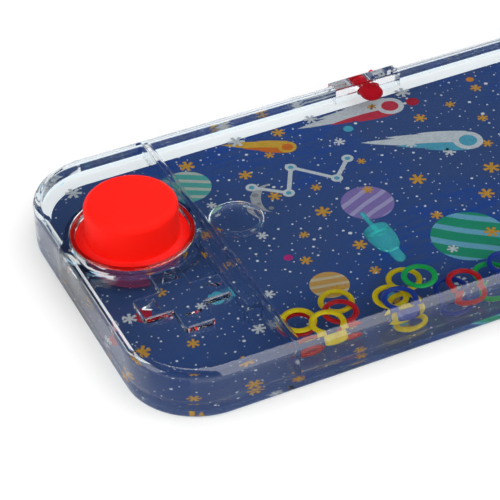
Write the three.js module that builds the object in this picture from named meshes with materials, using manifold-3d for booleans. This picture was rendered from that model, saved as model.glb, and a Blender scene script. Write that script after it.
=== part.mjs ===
/**
 * A handheld water game that lies on its back: a slim clear case with two hand pumps, a tank of loose
 * rings to throw over two pegs, and a printed card behind everything.
 * Millimetres, +Z up. The origin is the middle of the flat back. +X runs along the case, and +Y towards
 * the side that is uppermost in play, where the tank is filled.
 */
import * as THREE from "three";
import { mergeVertices } from "three/addons/utils/BufferGeometryUtils.js";
import Module from "manifold-3d";

const wasm = await Module();
wasm.setup();

// Fits: the gap round a piece that sits in another, and how far a cut runs past the face that it opens
const seatGap = 0.3;
const cutOverrun = 1;

// Case outline
const caseLength = 196.6;
const caseWidth = 87;
const caseCornerRadius = 17.2;

// Printed card under the back plate
const cardThickness = 0.3;
const cardInset = 4;

// Back plate that closes the shell
const plateThickness = 3.6;
const plateEdgeRadius = 0.4;

// Front shell
const shellWall = 2;
const shellEdgeRadius = 2.2;
const faceThickness = 1.5;
const partitionThickness = 1.4;
const partitionLap = 0.3;
const tankHeadroom = 1.15;

// Loose rings
const ringDiameter = 8.3;
const ringTubeDiameter = 1.55;
const ringLayers = 3;

// Pump wells, each with a ledge for the bellows flange
const wellRadius = 14.7;
const wellWall = 1.2;
const wellEdgeMargin = 1.4;
const wellLedgeWidth = 1.5;
const pumpRise = 9.9;

// Clear ring that holds a bellows down in its well
const retainerDepth = 1.2;
const retainerRise = 0.2;
const retainerWall = 1;
const retainerEdgeRadius = 0.35;

// Soft bellows between the well and the button
const bellowsFlangeThickness = 1.4;
const bellowsFlangeWidth = 1.7;
const bellowsWall = 1;

// Soft pump button, with the way round it inside its retaining ring
const buttonClearance = 2.4;
const buttonRise = 9.3;
const buttonWall = 1.8;
const buttonEdgeRadius = 2;
const buttonCrown = 0.3;
const buttonCrownShare = 0.75;
const buttonFoldShare = 0.5;
const buttonTravel = 5;
const buttonFootGap = 2.4;

// Jet channel from a pump well to the foot of the tank
const channelWidth = 3.4;
const channelWall = 1.2;
const channelEndHeight = 15.7;
const channelPortHeight = 3.6;
const jetSetback = 0.5;
const jetWidth = 3;
const jetHeight = 3;

// Direction pad raised on the face, and the four round pads that match it on the right
const padSpan = 20.8;
const padArmWidth = 7.2;
const padRise = 1.5;
const padCornerRadius = 0.8;
const padWellGap = 3.1;
const arrowLength = 3.6;
const arrowWidth = 4.4;
const arrowDepth = 0.8;
const arrowEdgeGap = 0.9;
const roundPadRadius = 3.4;
const roundPadEdgeRadius = 0.4;

// Filler neck in a slot of the far wall, and the soft plug that stops it
const fillerPlace = -3.7;
const fillerNeckWidth = 18.4;
const fillerNeckRise = 0.6;
const fillerNeckReach = 1.6;
const fillerNeckTopDrop = 0.4;
const fillerBoreRadius = 3.2;
const plugReach = 4.7;
const plugTipRadius = 2.8;
const plugHeadRadius = 3.4;
const plugHeadThickness = 1.4;
const plugTabStart = 2.2;
const plugTabEnd = 5.6;
const plugTabWidth = 1.3;
const plugTabInset = 0.2;
const plugTabTurn = 40;

// Pegs that the rings are thrown over
const pegSpacing = 58.8;
const pegFootGap = 0.2;
const pegStemRadius = 1.4;
const pegStemLength = 4.6;
const pegCupRadius = 3.3;
const pegCupLength = 8.1;
const pegCupWall = 0.7;
const pegCupDepth = 2.4;
const pegPinRadius = 0.6;
const pegPinLength = 7.4;

// The cup's outside from its stem to its widest place: shares of its radius and of its length
const pegCupShares = [
  { radius: 0.7, length: 0.12 },
  { radius: 0.92, length: 0.38 },
  { radius: 1, length: 0.75 },
];
const pegMouthShare = 0.8;

// Facets
const cornerSteps = 8;
const edgeSteps = 3;
const retainerEdgeSteps = 2;
const wellSteps = 36;
const buttonSteps = 32;
const pegSteps = 18;
const plugSteps = 20;
const ringSteps = 18;
const ringTubeSteps = 6;

// Places that follow from the sizes
const tankDepth = ringLayers * (ringTubeDiameter + seatGap) + seatGap + tankHeadroom;
const plateTop = cardThickness + plateThickness;
const ceiling = plateTop + tankDepth;
const faceTop = ceiling + faceThickness;
const hollowLength = caseLength - 2 * shellWall;
const hollowWidth = caseWidth - 2 * shellWall;
const wellOuterRadius = wellRadius + wellWall;
const buttonRadius = wellRadius - seatGap - retainerWall - buttonClearance;
const ledgeTop = faceTop - retainerDepth - bellowsFlangeThickness;
const pumpDistance = caseLength / 2 - wellEdgeMargin - wellOuterRadius;
const partitionOuter = pumpDistance - wellOuterRadius + partitionLap;
const tankHalfLength = partitionOuter - partitionThickness;
const tankNear = -hollowWidth / 2;
const padCentreRise = pumpRise - wellRadius - padWellGap - padSpan / 2;
const fillerHeight = (plateTop + ceiling) / 2;
const fillerNeckInner = hollowWidth / 2 - fillerNeckReach;
const fillerFaceRise = caseWidth / 2 + fillerNeckRise;
const ringPitch = ringDiameter + seatGap;

// Each loose ring: its colour, and where it lies in the pile at the near side of the tank. Across and
// rise are shares of the ring pitch from the corner of the tank, and layer counts up from the plate.
const ringPileShares = [
  { name: "ring_red_1", colour: "red", across: 0, rise: 0.54, layer: 0 },
  { name: "ring_yellow_1", colour: "yellow", across: 0, rise: 0.54, layer: 1 },
  { name: "ring_yellow_2", colour: "yellow", across: 0.56, rise: 0, layer: 2 },
  { name: "ring_red_2", colour: "red", across: 1.11, rise: 0.36, layer: 1 },
  { name: "ring_yellow_3", colour: "yellow", across: 1.27, rise: 0.9, layer: 0 },
  { name: "ring_yellow_4", colour: "yellow", across: 2.54, rise: 0.3, layer: 1 },
  { name: "ring_blue_1", colour: "blue", across: 2.64, rise: 0, layer: 2 },
  { name: "ring_yellow_5", colour: "yellow", across: 2.8, rise: 0, layer: 0 },
  { name: "ring_yellow_6", colour: "yellow", across: 3.26, rise: 0.89, layer: 0 },
  { name: "ring_green_1", colour: "green", across: 3.53, rise: 0.56, layer: 2 },
  { name: "ring_blue_2", colour: "blue", across: 4.16, rise: 0, layer: 0 },
  { name: "ring_red_3", colour: "red", across: 4.55, rise: 0, layer: 1 },
  { name: "ring_green_2", colour: "green", across: 5.39, rise: 0.08, layer: 0 },
  { name: "ring_blue_3", colour: "blue", across: 5.87, rise: 0.17, layer: 1 },
  { name: "ring_red_4", colour: "red", across: 6.8, rise: 0.15, layer: 0 },
  { name: "ring_blue_4", colour: "blue", across: 7.38, rise: 0.61, layer: 1 },
  { name: "ring_green_3", colour: "green", across: 7.9, rise: 0.21, layer: 0 },
  { name: "ring_green_4", colour: "green", across: 9.3, rise: 0.06, layer: 0 },
];

const pileTop = tankNear + seatGap + ringDiameter
  + ringPitch * Math.max(...ringPileShares.map((ring) => ring.rise));

/** Two places in rising order, mirrored for the left side. */
function spanOf(side, a, b) {
  return [Math.min(side * a, side * b), Math.max(side * a, side * b)];
}

// Outlines

/** A rectangle with round corners about the origin. */
function roundedRectangle(width, height, radius) {
  const x = width / 2 - radius;
  const y = height / 2 - radius;
  const shape = new THREE.Shape();
  shape.absarc(x, y, radius, 0, Math.PI / 2);
  shape.absarc(-x, y, radius, Math.PI / 2, Math.PI);
  shape.absarc(-x, -y, radius, Math.PI, 1.5 * Math.PI);
  shape.absarc(x, -y, radius, 1.5 * Math.PI, 2 * Math.PI);
  shape.closePath();
  return shape;
}

/** The points of part of a circle, both ends included. */
function arcPoints(centreX, centreY, radius, from, to, steps) {
  return Array.from({ length: steps + 1 }, (_, step) => {
    const angle = from + ((to - from) * step) / steps;
    return new THREE.Vector2(centreX + radius * Math.cos(angle), centreY + radius * Math.sin(angle));
  });
}

// Solids

/** Only the positions, with shared corners merged and empty triangles left out. */
function weld(geometry) {
  geometry.deleteAttribute("normal");
  geometry.deleteAttribute("uv");
  const merged = mergeVertices(geometry);
  const corners = merged.index.array;
  const kept = [];
  for (let at = 0; at < corners.length; at += 3) {
    const [a, b, c] = [corners[at], corners[at + 1], corners[at + 2]];
    if (a !== b && b !== c && c !== a) kept.push(a, b, c);
  }
  merged.setIndex(kept);
  return merged;
}

function solidOf(geometry) {
  const welded = weld(geometry);
  const vertProperties = Float32Array.from(welded.attributes.position.array);
  const triVerts = Uint32Array.from(welded.index.array);
  return new wasm.Manifold(new wasm.Mesh({ numProp: 3, vertProperties, triVerts }));
}

function geometryOf(solid) {
  const { vertProperties, triVerts } = solid.getMesh();
  const geometry = new THREE.BufferGeometry();
  geometry.setAttribute("position", new THREE.BufferAttribute(Float32Array.from(vertProperties), 3));
  geometry.setIndex(Array.from(triVerts));
  return geometry;
}

/** A flat shape raised from one height to another, its upper edge rounded where a radius is given. */
function slab(shape, bottom, top, { edge = 0, curveSegments = cornerSteps } = {}) {
  if (edge === 0) {
    const plain = { depth: top - bottom, bevelEnabled: false, curveSegments };
    return solidOf(new THREE.ExtrudeGeometry(shape, plain).translate(0, 0, bottom));
  }
  const rounded = new THREE.ExtrudeGeometry(shape, {
    depth: top - bottom,
    bevelSize: edge,
    bevelOffset: -edge,
    bevelThickness: edge,
    bevelSegments: edgeSteps,
    curveSegments,
  });
  const solid = solidOf(rounded.translate(0, 0, bottom - edge));
  const reach = [-caseLength, caseLength];
  return solid.subtract(block(reach, reach, [bottom - 2 * edge - cutOverrun, bottom]));
}

/** A box between two places on each axis. */
function block([left, right], [near, far], [bottom, top]) {
  const box = new THREE.BoxGeometry(right - left, far - near, top - bottom);
  return solidOf(box.translate((left + right) / 2, (near + far) / 2, (bottom + top) / 2));
}

/** A profile of radius and height turned about +Z; its outer side is listed upwards. */
function turned(points, steps) {
  return new THREE.LatheGeometry(points, steps).rotateX(Math.PI / 2);
}

/** A profile that closes on itself, for a piece with a bore. */
function turnedTube(corners, steps) {
  const points = corners.map(([radius, height]) => new THREE.Vector2(radius, height));
  return turned([...points, points[0]], steps);
}

function disc(radius, bottom, top, steps) {
  const corners = [[0, bottom], [radius, bottom], [radius, top], [0, top]];
  return turned(corners.map(([r, height]) => new THREE.Vector2(r, height)), steps);
}

// Front shell

function shellBody() {
  const outline = roundedRectangle(caseLength, caseWidth, caseCornerRadius);
  const hollow = roundedRectangle(hollowLength, hollowWidth, caseCornerRadius - shellWall);
  return slab(outline, plateTop, faceTop, { edge: shellEdgeRadius })
    .subtract(slab(hollow, plateTop - cutOverrun, ceiling));
}

/** The walls of one pump well and its jet channel, and the partition beside them. */
function pumpWalls(side) {
  const well = disc(wellOuterRadius, plateTop, faceTop, wellSteps);
  const heights = [plateTop, ceiling + faceThickness / 2];
  const depth = (hollowWidth + shellWall) / 2;
  const channelInner = partitionOuter + channelWidth;
  const channelOuter = channelInner + channelWall;
  const channelNear = tankNear + channelEndHeight;
  const partition = block(spanOf(side, tankHalfLength, partitionOuter), [-depth, depth], heights);
  const channelDepths = [channelNear - channelWall, pumpRise];
  const channelSide = block(spanOf(side, channelInner, channelOuter), channelDepths, heights);
  const endDepths = [channelNear - channelWall, channelNear];
  const channelEnd = block(spanOf(side, partitionOuter, channelOuter), endDepths, heights);
  return solidOf(well.translate(side * pumpDistance, pumpRise, 0))
    .add(partition)
    .add(channelSide)
    .add(channelEnd);
}

/** What is cut from the shell for one pump: its well, its chamber, the way to the channel and the jet. */
function pumpCuts(side) {
  const place = [side * pumpDistance, pumpRise, 0];
  const low = plateTop - cutOverrun;
  const chamberRadius = wellRadius - wellLedgeWidth;
  const well = disc(wellRadius, ledgeTop, faceTop + cutOverrun, wellSteps).translate(...place);
  const chamber = disc(chamberRadius, low, faceTop, wellSteps).translate(...place);
  const port = block(
    spanOf(side, partitionOuter, partitionOuter + channelWidth),
    [pumpRise - chamberRadius, pumpRise - channelWidth],
    [low, plateTop + channelPortHeight],
  );
  const jetNear = tankNear + channelEndHeight + jetSetback;
  const jet = block(
    spanOf(side, tankHalfLength - cutOverrun, partitionOuter + cutOverrun),
    [jetNear, jetNear + jetWidth],
    [low, plateTop + jetHeight],
  );
  return solidOf(well).add(solidOf(chamber)).add(port).add(jet);
}

function plusOutline() {
  const arm = padArmWidth / 2;
  const end = padSpan / 2;
  const round = padCornerRadius;
  const shape = new THREE.Shape();
  for (const quarter of [0, 1, 2, 3]) {
    const turn = (quarter * Math.PI) / 2;
    const middle = new THREE.Vector2();
    const place = (x, y) => new THREE.Vector2(x, y).rotateAround(middle, turn).toArray();
    shape.absarc(...place(end - round, -arm + round), round, turn - Math.PI / 2, turn);
    shape.absarc(...place(end - round, arm - round), round, turn, turn + Math.PI / 2);
    shape.lineTo(...place(arm, arm));
  }
  shape.closePath();
  return shape;
}

/** The four-way pad, with an arrow sunk into each arm. */
function directionPad(x, y) {
  const bottom = faceTop - faceThickness / 2;
  let pad = slab(plusOutline(), bottom, faceTop + padRise, { curveSegments: edgeSteps });
  for (const quarter of [0, 1, 2, 3]) {
    const tip = padSpan / 2 - arrowEdgeGap;
    const arrow = new THREE.Shape();
    arrow.moveTo(tip, 0);
    arrow.lineTo(tip - arrowLength, arrowWidth / 2);
    arrow.lineTo(tip - arrowLength, -arrowWidth / 2);
    arrow.closePath();
    const depth = arrowDepth + cutOverrun;
    const cut = new THREE.ExtrudeGeometry(arrow, { depth, bevelEnabled: false });
    cut.rotateZ((quarter * Math.PI) / 2).translate(0, 0, faceTop + padRise - arrowDepth);
    pad = pad.subtract(solidOf(cut));
  }
  return pad.translate([x, y, 0]);
}

/** Four round pads in a diamond. */
function roundPads(x, y) {
  const reach = padSpan / 2 - roundPadRadius;
  const bottom = faceTop - faceThickness / 2;
  const top = faceTop + padRise;
  const round = roundPadEdgeRadius;
  const corners = [
    new THREE.Vector2(0, bottom),
    new THREE.Vector2(roundPadRadius, bottom),
    ...arcPoints(roundPadRadius - round, top - round, round, 0, Math.PI / 2, edgeSteps),
    new THREE.Vector2(0, top),
  ];
  const pads = [[reach, 0], [0, reach], [-reach, 0], [0, -reach]].map(([dx, dy]) => {
    return solidOf(turned(corners, plugSteps).translate(x + dx, y + dy, 0));
  });
  return pads.reduce((all, pad) => all.add(pad));
}

/** The slot through the far wall and the edge of the face that holds the filler neck. */
function fillerSlot() {
  const half = fillerNeckWidth / 2 + seatGap;
  const depths = [fillerNeckInner - seatGap, fillerFaceRise + cutOverrun];
  const heights = [plateTop - cutOverrun, faceTop + cutOverrun];
  return block([fillerPlace - half, fillerPlace + half], depths, heights);
}

function frontShell() {
  const solid = shellBody()
    .add(pumpWalls(-1))
    .add(pumpWalls(1))
    .add(directionPad(-pumpDistance, padCentreRise))
    .add(roundPads(pumpDistance, padCentreRise))
    .subtract(pumpCuts(-1))
    .subtract(pumpCuts(1))
    .subtract(fillerSlot());
  return geometryOf(solid);
}

// Back plate and card

function backPlate() {
  const outline = roundedRectangle(caseLength, caseWidth, caseCornerRadius);
  return geometryOf(slab(outline, cardThickness, plateTop, { edge: plateEdgeRadius }));
}

function printedCard() {
  const outline = roundedRectangle(
    caseLength - 2 * cardInset,
    caseWidth - 2 * cardInset,
    caseCornerRadius - cardInset,
  );
  return geometryOf(slab(outline, 0, cardThickness));
}

// Pumps

function retainingRing() {
  const outer = wellRadius - seatGap;
  const inner = outer - retainerWall;
  const bottom = ledgeTop + bellowsFlangeThickness;
  const top = faceTop + retainerRise;
  const round = retainerEdgeRadius;
  const edges = [
    ...arcPoints(outer - round, top - round, round, 0, Math.PI / 2, retainerEdgeSteps),
    ...arcPoints(inner + round, top - round, round, Math.PI / 2, Math.PI, retainerEdgeSteps),
  ];
  const profile = [[outer, bottom], ...edges.map((point) => point.toArray()), [inner, bottom]];
  return turnedTube(profile, wellSteps);
}

function buttonFoot() {
  return plateTop + buttonTravel + buttonFootGap;
}

function pumpBellows() {
  const outer = wellRadius - seatGap;
  const flangeInner = outer - bellowsFlangeWidth;
  const lip = buttonRadius + seatGap;
  const middle = (flangeInner + lip) / 2;
  const foot = buttonFoot();
  const flangeTop = ledgeTop + bellowsFlangeThickness;
  const profile = [
    [outer, ledgeTop],
    [outer, flangeTop],
    [flangeInner + bellowsWall / 2, flangeTop],
    [middle + bellowsWall / 2, (flangeTop + foot + bellowsWall) / 2],
    [lip, foot + bellowsWall],
    [lip, foot],
    [middle, (ledgeTop + foot) / 2],
    [flangeInner, ledgeTop],
  ];
  return turnedTube(profile, wellSteps);
}

/** The half profile of the button's outside, or of its inside where an inset is given. */
function buttonSide(inset, foot) {
  const radius = buttonRadius - inset;
  const round = buttonEdgeRadius - inset / 2;
  const top = faceTop + buttonRise - inset;
  const shoulder = top - buttonCrown;
  return [
    new THREE.Vector2(radius, foot),
    ...arcPoints(radius - round, shoulder - round, round, 0, Math.PI / 2, edgeSteps + 1),
    new THREE.Vector2(buttonFoldShare * (radius - round), shoulder + buttonCrownShare * buttonCrown),
    new THREE.Vector2(0, top),
  ];
}

function pumpButton() {
  const foot = buttonFoot();
  const outside = buttonSide(0, foot);
  const inside = buttonSide(buttonWall, foot).reverse();
  return turned([...inside, ...outside], buttonSteps);
}

// Filler

/** The neck in the far wall, with the bore that the tank is filled through. */
function fillerNeck() {
  const half = fillerNeckWidth / 2;
  const depths = [fillerNeckInner, fillerFaceRise];
  const start = fillerNeckInner - cutOverrun;
  const bore = disc(fillerBoreRadius, 0, fillerFaceRise + cutOverrun - start, plugSteps);
  return geometryOf(block([-half, half], depths, [plateTop, faceTop - fillerNeckTopDrop])
    .subtract(solidOf(bore.rotateX(-Math.PI / 2).translate(0, start, fillerHeight)))
    .translate([fillerPlace, 0, 0]));
}

/** The soft plug along +Y, with its round tip in the tank and its head and pull tab outside. */
function fillerPlug() {
  const radius = fillerBoreRadius - seatGap;
  const headStart = fillerFaceRise + seatGap;
  const tip = fillerNeckInner - plugReach;
  const length = headStart - tip;
  const profile = [
    new THREE.Vector2(0, 0),
    ...arcPoints(radius - plugTipRadius, plugTipRadius, plugTipRadius, -Math.PI / 2, 0, edgeSteps),
    new THREE.Vector2(radius, length),
    new THREE.Vector2(plugHeadRadius, length),
    new THREE.Vector2(plugHeadRadius, length + plugHeadThickness),
    new THREE.Vector2(0, length + plugHeadThickness),
  ];
  const stopper = solidOf(turned(profile, plugSteps).rotateX(-Math.PI / 2).translate(0, tip, 0));
  const tab = block(
    [plugTabStart, plugTabEnd],
    [headStart + plugTabInset, headStart + plugHeadThickness - plugTabInset],
    [-plugTabWidth / 2, plugTabWidth / 2],
  );
  const turnedTab = tab.rotate([0, -plugTabTurn, 0]);
  return geometryOf(stopper.add(turnedTab).translate([fillerPlace, 0, fillerHeight]));
}

// Pegs

/** A cup on a stem with a pin in the middle of it, flattened to fit between the plate and the face. */
function peg() {
  const flat = (tankDepth - 2 * seatGap) / (2 * pegCupRadius);
  const bottom = pegStemLength;
  const top = pegStemLength + pegCupLength;
  const mouth = pegCupRadius - pegCupWall;
  const cupCorners = [
    [0, bottom],
    [pegStemRadius, bottom],
    ...pegCupShares.map(({ radius, length }) => [radius * pegCupRadius, bottom + length * pegCupLength]),
    [pegCupRadius, top],
    [mouth, top],
    [pegMouthShare * mouth, top - pegMouthShare * pegCupDepth],
    [0, top - pegCupDepth],
  ];
  const cup = turned(cupCorners.map(([r, height]) => new THREE.Vector2(r, height)), pegSteps);
  const stem = turned([
    ...arcPoints(0, pegStemRadius, pegStemRadius, -Math.PI / 2, 0, edgeSteps),
    new THREE.Vector2(pegStemRadius, bottom + pegStemRadius),
    new THREE.Vector2(0, bottom + pegStemRadius),
  ], pegSteps);
  const pin = turned([
    new THREE.Vector2(0, top - 2 * pegCupDepth),
    new THREE.Vector2(pegPinRadius, top - 2 * pegCupDepth),
    ...arcPoints(0, top + pegPinLength - pegPinRadius, pegPinRadius, 0, Math.PI / 2, edgeSteps),
  ], pegSteps / 2);
  const pieces = [stem, cup.scale(1, flat, 1), pin];
  const solid = pieces.map((piece) => solidOf(piece.rotateX(-Math.PI / 2)));
  return geometryOf(solid.reduce((all, piece) => all.add(piece)));
}

// Rings

function looseRing() {
  const tube = ringTubeDiameter / 2;
  const section = arcPoints(ringDiameter / 2 - tube, 0, tube, 0, 2 * Math.PI, ringTubeSteps);
  return turned(section, ringSteps);
}

/** Where a ring of the pile lies, from its shares of the ring pitch. */
function ringPlace({ across, rise, layer }) {
  const first = seatGap + ringDiameter / 2;
  return new THREE.Vector3(
    -tankHalfLength + first + across * ringPitch,
    tankNear + first + rise * ringPitch,
    plateTop + seatGap + ringTubeDiameter / 2 + layer * (ringTubeDiameter + seatGap),
  );
}

// Materials

function plastic(color, roughness, opacity = 1) {
  return { color, roughness, metalness: 0, opacity, transparent: opacity < 1 };
}

const finishes = {
  clear: plastic(0xe6eef2, 0.06, 0.3),
  card: plastic(0x242d6d, 0.55),
  softRed: plastic(0xe8231a, 0.6),
  plugRed: plastic(0xc8182c, 0.5),
  teal: plastic(0x0c8f8c, 0.25, 0.8),
  red: plastic(0xc0181c, 0.4),
  yellow: plastic(0xf0d400, 0.4),
  green: plastic(0x0db050, 0.4),
  blue: plastic(0x1c3fa8, 0.4),
};

// Assembly

const waterGame = new THREE.Group();

function addPiece(parent, name, geometry, finish) {
  const mesh = new THREE.Mesh(geometry, new THREE.MeshStandardMaterial(finishes[finish]));
  mesh.name = name;
  parent.add(mesh);
  return mesh;
}

addPiece(waterGame, "front_shell", frontShell(), "clear");
addPiece(waterGame, "back_plate", backPlate(), "clear");
addPiece(waterGame, "printed_card", printedCard(), "card");
addPiece(waterGame, "filler_neck", fillerNeck(), "clear");
addPiece(waterGame, "filler_plug", fillerPlug(), "plugRed");

for (const [hand, side] of [["left", -1], ["right", 1]]) {
  const pump = new THREE.Group();
  pump.position.set(side * pumpDistance, pumpRise, 0);
  addPiece(pump, `${hand}_retaining_ring`, retainingRing(), "clear");
  addPiece(pump, `${hand}_pump_bellows`, pumpBellows(), "softRed");
  addPiece(pump, `${hand}_pump_button`, pumpButton(), "softRed");
  waterGame.add(pump);

  const target = addPiece(waterGame, `${hand}_peg`, peg(), "teal");
  target.position.set((side * pegSpacing) / 2, pileTop + pegFootGap, fillerHeight);
}

for (const ring of ringPileShares) {
  addPiece(waterGame, ring.name, looseRing(), ring.colour).position.copy(ringPlace(ring));
}

export default waterGame;
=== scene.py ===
"""The looks of a handheld water game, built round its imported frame.

Every length is in metres. The frame's origin is the middle of the flat back, +X runs along the case from the
left pump to the right one, +Z points out of the clear face, and +Y towards the filler plug.
"""

import logging
import math
import random
from collections.abc import Callable, Iterable, Sequence
from dataclasses import dataclass, field
from enum import Enum

import bmesh
import bpy
from bmesh.types import BMEdge, BMesh, BMVert
from bpy.types import ID, Material, Mesh, Node, NodeSocket, NodeTree, Object
from mathutils import Matrix, Vector


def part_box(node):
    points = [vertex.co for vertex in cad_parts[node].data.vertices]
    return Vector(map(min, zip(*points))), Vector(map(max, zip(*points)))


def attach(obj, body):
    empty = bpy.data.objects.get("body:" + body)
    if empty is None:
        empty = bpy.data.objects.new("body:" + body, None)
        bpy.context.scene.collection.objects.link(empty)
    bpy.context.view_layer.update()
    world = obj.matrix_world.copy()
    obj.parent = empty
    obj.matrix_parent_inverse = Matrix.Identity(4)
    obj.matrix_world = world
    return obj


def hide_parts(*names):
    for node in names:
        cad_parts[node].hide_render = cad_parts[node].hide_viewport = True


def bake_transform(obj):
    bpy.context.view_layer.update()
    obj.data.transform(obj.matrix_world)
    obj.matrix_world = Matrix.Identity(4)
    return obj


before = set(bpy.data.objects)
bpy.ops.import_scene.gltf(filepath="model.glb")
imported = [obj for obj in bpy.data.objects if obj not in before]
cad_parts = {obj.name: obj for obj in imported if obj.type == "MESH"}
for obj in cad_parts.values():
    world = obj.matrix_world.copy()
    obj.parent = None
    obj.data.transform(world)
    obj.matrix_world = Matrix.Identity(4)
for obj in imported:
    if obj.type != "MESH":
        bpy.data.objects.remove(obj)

LOG = logging.getLogger("water_game")
MM = 0.001
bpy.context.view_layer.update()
CASE_BODY = "case"

Colour = tuple[float, float, float]
Point = tuple[float, float, float]
Pair = tuple[float, float]
Profile = list[Pair]

# A length below which two points count as one.
HAIR = 0.001 * MM
# Turns a solid from upright to lying along Y.
ALONG_Y = Matrix.Rotation(math.radians(-90), 4, "X")
# The least part of a level face's normal along Z, the most of an upright one's, the least along Y of a normal
# that points to the far side, and the least along any axis of a face that is square to it.
LEVEL, UPRIGHT, FARWARD, SQUARE = 0.99, 0.05, 0.25, 0.99999
# The share of lamp light that passes an upright face of the case and a level one.
THROUGH_CASE = (0.3, 0.95)
WHITE = (1, 1, 1, 1)


class Hand(Enum):
    """The side of the case that a pump is on, with its sign along X."""

    LEFT = -1
    RIGHT = 1

    @property
    def word(self) -> str:
        """The hand's name as the frame's nodes have it."""
        return self.name.lower()


class Cut(Enum):
    """What a tool solid does to the solid that it meets."""

    JOIN = "UNION"
    TAKE = "DIFFERENCE"


class Shading(Enum):
    """How the faces of a piece are shaded."""

    SMOOTH = "smooth"
    FLAT_WHERE_SQUARE = "flat where square to an axis"
    FLAT = "flat"


class Skin(Enum):
    """The finish of one face of the clear case, by its place among the piece's materials."""

    CLEAR = 0
    WET = 1
    SIDE = 2
    RIM = 3
    FOOT = 4
    FAR = 5


# Meshes


def thickened(bm: BMesh, depth: float) -> BMesh:
    """Makes a flat shape a closed solid.

    Args:
        bm: The level shape, which is changed.
        depth: How far the solid reaches up from it.

    Returns:
        The solid.
    """
    made = bmesh.ops.extrude_face_region(bm, geom=list(bm.faces))["geom"]
    bmesh.ops.translate(bm, vec=(0, 0, depth), verts=[item for item in made if isinstance(item, BMVert)])
    bmesh.ops.recalc_face_normals(bm, faces=bm.faces)
    return bm


def flat_sheet(size: Pair, squares: int = 1) -> BMesh:
    """A flat rectangle about the origin.

    Args:
        size: Its length along X and width along Y.
        squares: The number of equal parts in a row along X.

    Returns:
        The rectangle.
    """
    bm = bmesh.new()
    bmesh.ops.create_grid(bm, x_segments=squares, y_segments=1, size=0.5)
    bmesh.ops.scale(bm, vec=(*size, 1), verts=bm.verts)
    return bm


def round_corners(bm: BMesh, corners: Sequence[BMVert], radius: float, steps: int) -> None:
    """Rounds some corners of a flat shape.

    Args:
        bm: The shape.
        corners: The corners to round.
        radius: The radius of the round.
        steps: The number of facets across it.
    """
    bmesh.ops.bevel(
        bm, geom=corners, offset=radius, segments=steps, profile=0.5, affect="VERTICES", material=-1
    )


def rotation(degrees: float, axis: str) -> Matrix:
    """A turn about one axis through the origin."""
    return Matrix.Rotation(math.radians(degrees), 4, axis)


def rounded_slab(size: Pair, radius: float, heights: Pair, steps: int) -> BMesh:
    """A closed slab with round corners about the origin.

    Args:
        size: Its length along X and width along Y.
        radius: The radius of its corners.
        heights: Its lowest and highest Z.
        steps: The number of facets in each corner.

    Returns:
        The slab.
    """
    bm = flat_sheet(size)
    round_corners(bm, list(bm.verts), radius, steps)
    return thickened(moved(bm, (0, 0, heights[0])), heights[1] - heights[0])


def box_solid(low: Sequence[float], high: Sequence[float]) -> BMesh:
    """A box.

    Args:
        low: Its lowest corner.
        high: Its highest corner.

    Returns:
        The box.
    """
    bm = bmesh.new()
    bmesh.ops.create_cube(bm, size=1)
    low, high = Vector(low), Vector(high)
    bmesh.ops.scale(bm, vec=high - low, verts=bm.verts)
    return moved(bm, (low + high) / 2)


def arc(centre: Pair, radius: float, turn: Pair, steps: int) -> Profile:
    """The points of part of a circle, both ends included.

    Args:
        centre: The circle's centre.
        radius: Its radius.
        turn: The first and last angle in degrees.
        steps: The number of straight pieces.

    Returns:
        The points.
    """
    first, last = (math.radians(angle) for angle in turn)
    angles = [first + (last - first) * step / steps for step in range(steps + 1)]
    return [(centre[0] + radius * math.cos(a), centre[1] + radius * math.sin(a)) for a in angles]


def turned(profile: Profile, steps: int, closed: bool = False) -> BMesh:
    """A solid turned about Z.

    Args:
        profile: Its radius and height from point to point.
        steps: The number of facets in a full turn.
        closed: True where the profile's last point joins its first, for a piece with a bore.

    Returns:
        The solid.
    """
    bm = bmesh.new()
    verts = [bm.verts.new((radius, 0, height)) for radius, height in profile]
    edges = [bm.edges.new(pair) for pair in zip(verts, verts[1:])]
    if closed:
        edges.append(bm.edges.new((verts[-1], verts[0])))
    line, full = [*verts, *edges], 2 * math.pi
    bmesh.ops.spin(bm, geom=line, cent=(0, 0, 0), axis=(0, 0, 1), angle=full, steps=steps, use_merge=True)
    bmesh.ops.remove_doubles(bm, verts=bm.verts, dist=HAIR / 2)
    bmesh.ops.recalc_face_normals(bm, faces=bm.faces)
    return bm


def cylinder(radius: float, heights: Sequence[float], steps: int) -> BMesh:
    """A solid cylinder about Z."""
    low, high = heights
    return turned([(0, low), (radius, low), (radius, high), (0, high)], steps)


def sided(hand: Hand, across: Sequence[float], along: Sequence[float], heights: Sequence[float]) -> BMesh:
    """Makes a box, its X mirrored for the left hand.

    Args:
        hand: The side that it is on.
        across: Its reach along X on the right.
        along: Its reach along Y.
        heights: Its reach along Z.

    Returns:
        The box.
    """
    x = sorted(hand.value * value for value in across)
    return box_solid((x[0], along[0], heights[0]), (x[1], along[1], heights[1]))


def moved(bm: BMesh, place: Sequence[float] = (0, 0, 0), turn: Matrix | None = None) -> BMesh:
    """Moves a mesh.

    Args:
        bm: The mesh.
        place: How far it moves.
        turn: Its turn about the origin, before it moves.

    Returns:
        The same mesh.
    """
    if turn is not None:
        bmesh.ops.transform(bm, matrix=turn, verts=bm.verts)
    bmesh.ops.translate(bm, vec=place, verts=bm.verts)
    return bm


def as_mesh(bm: BMesh, name: str) -> Mesh:
    """Makes Blender's mesh of a solid.

    Args:
        bm: The solid; it is freed.
        name: The mesh's name.

    Returns:
        The mesh.
    """
    mesh = bpy.data.meshes.new(name)
    bm.to_mesh(mesh)
    bm.free()
    return mesh


def linked(name: str, data: ID) -> Object:
    """Puts an object in the scene.

    Args:
        name: Its name.
        data: Its mesh, lamp or camera.

    Returns:
        The object.
    """
    made = bpy.data.objects.new(name, data)
    bpy.context.scene.collection.objects.link(made)
    return made


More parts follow.
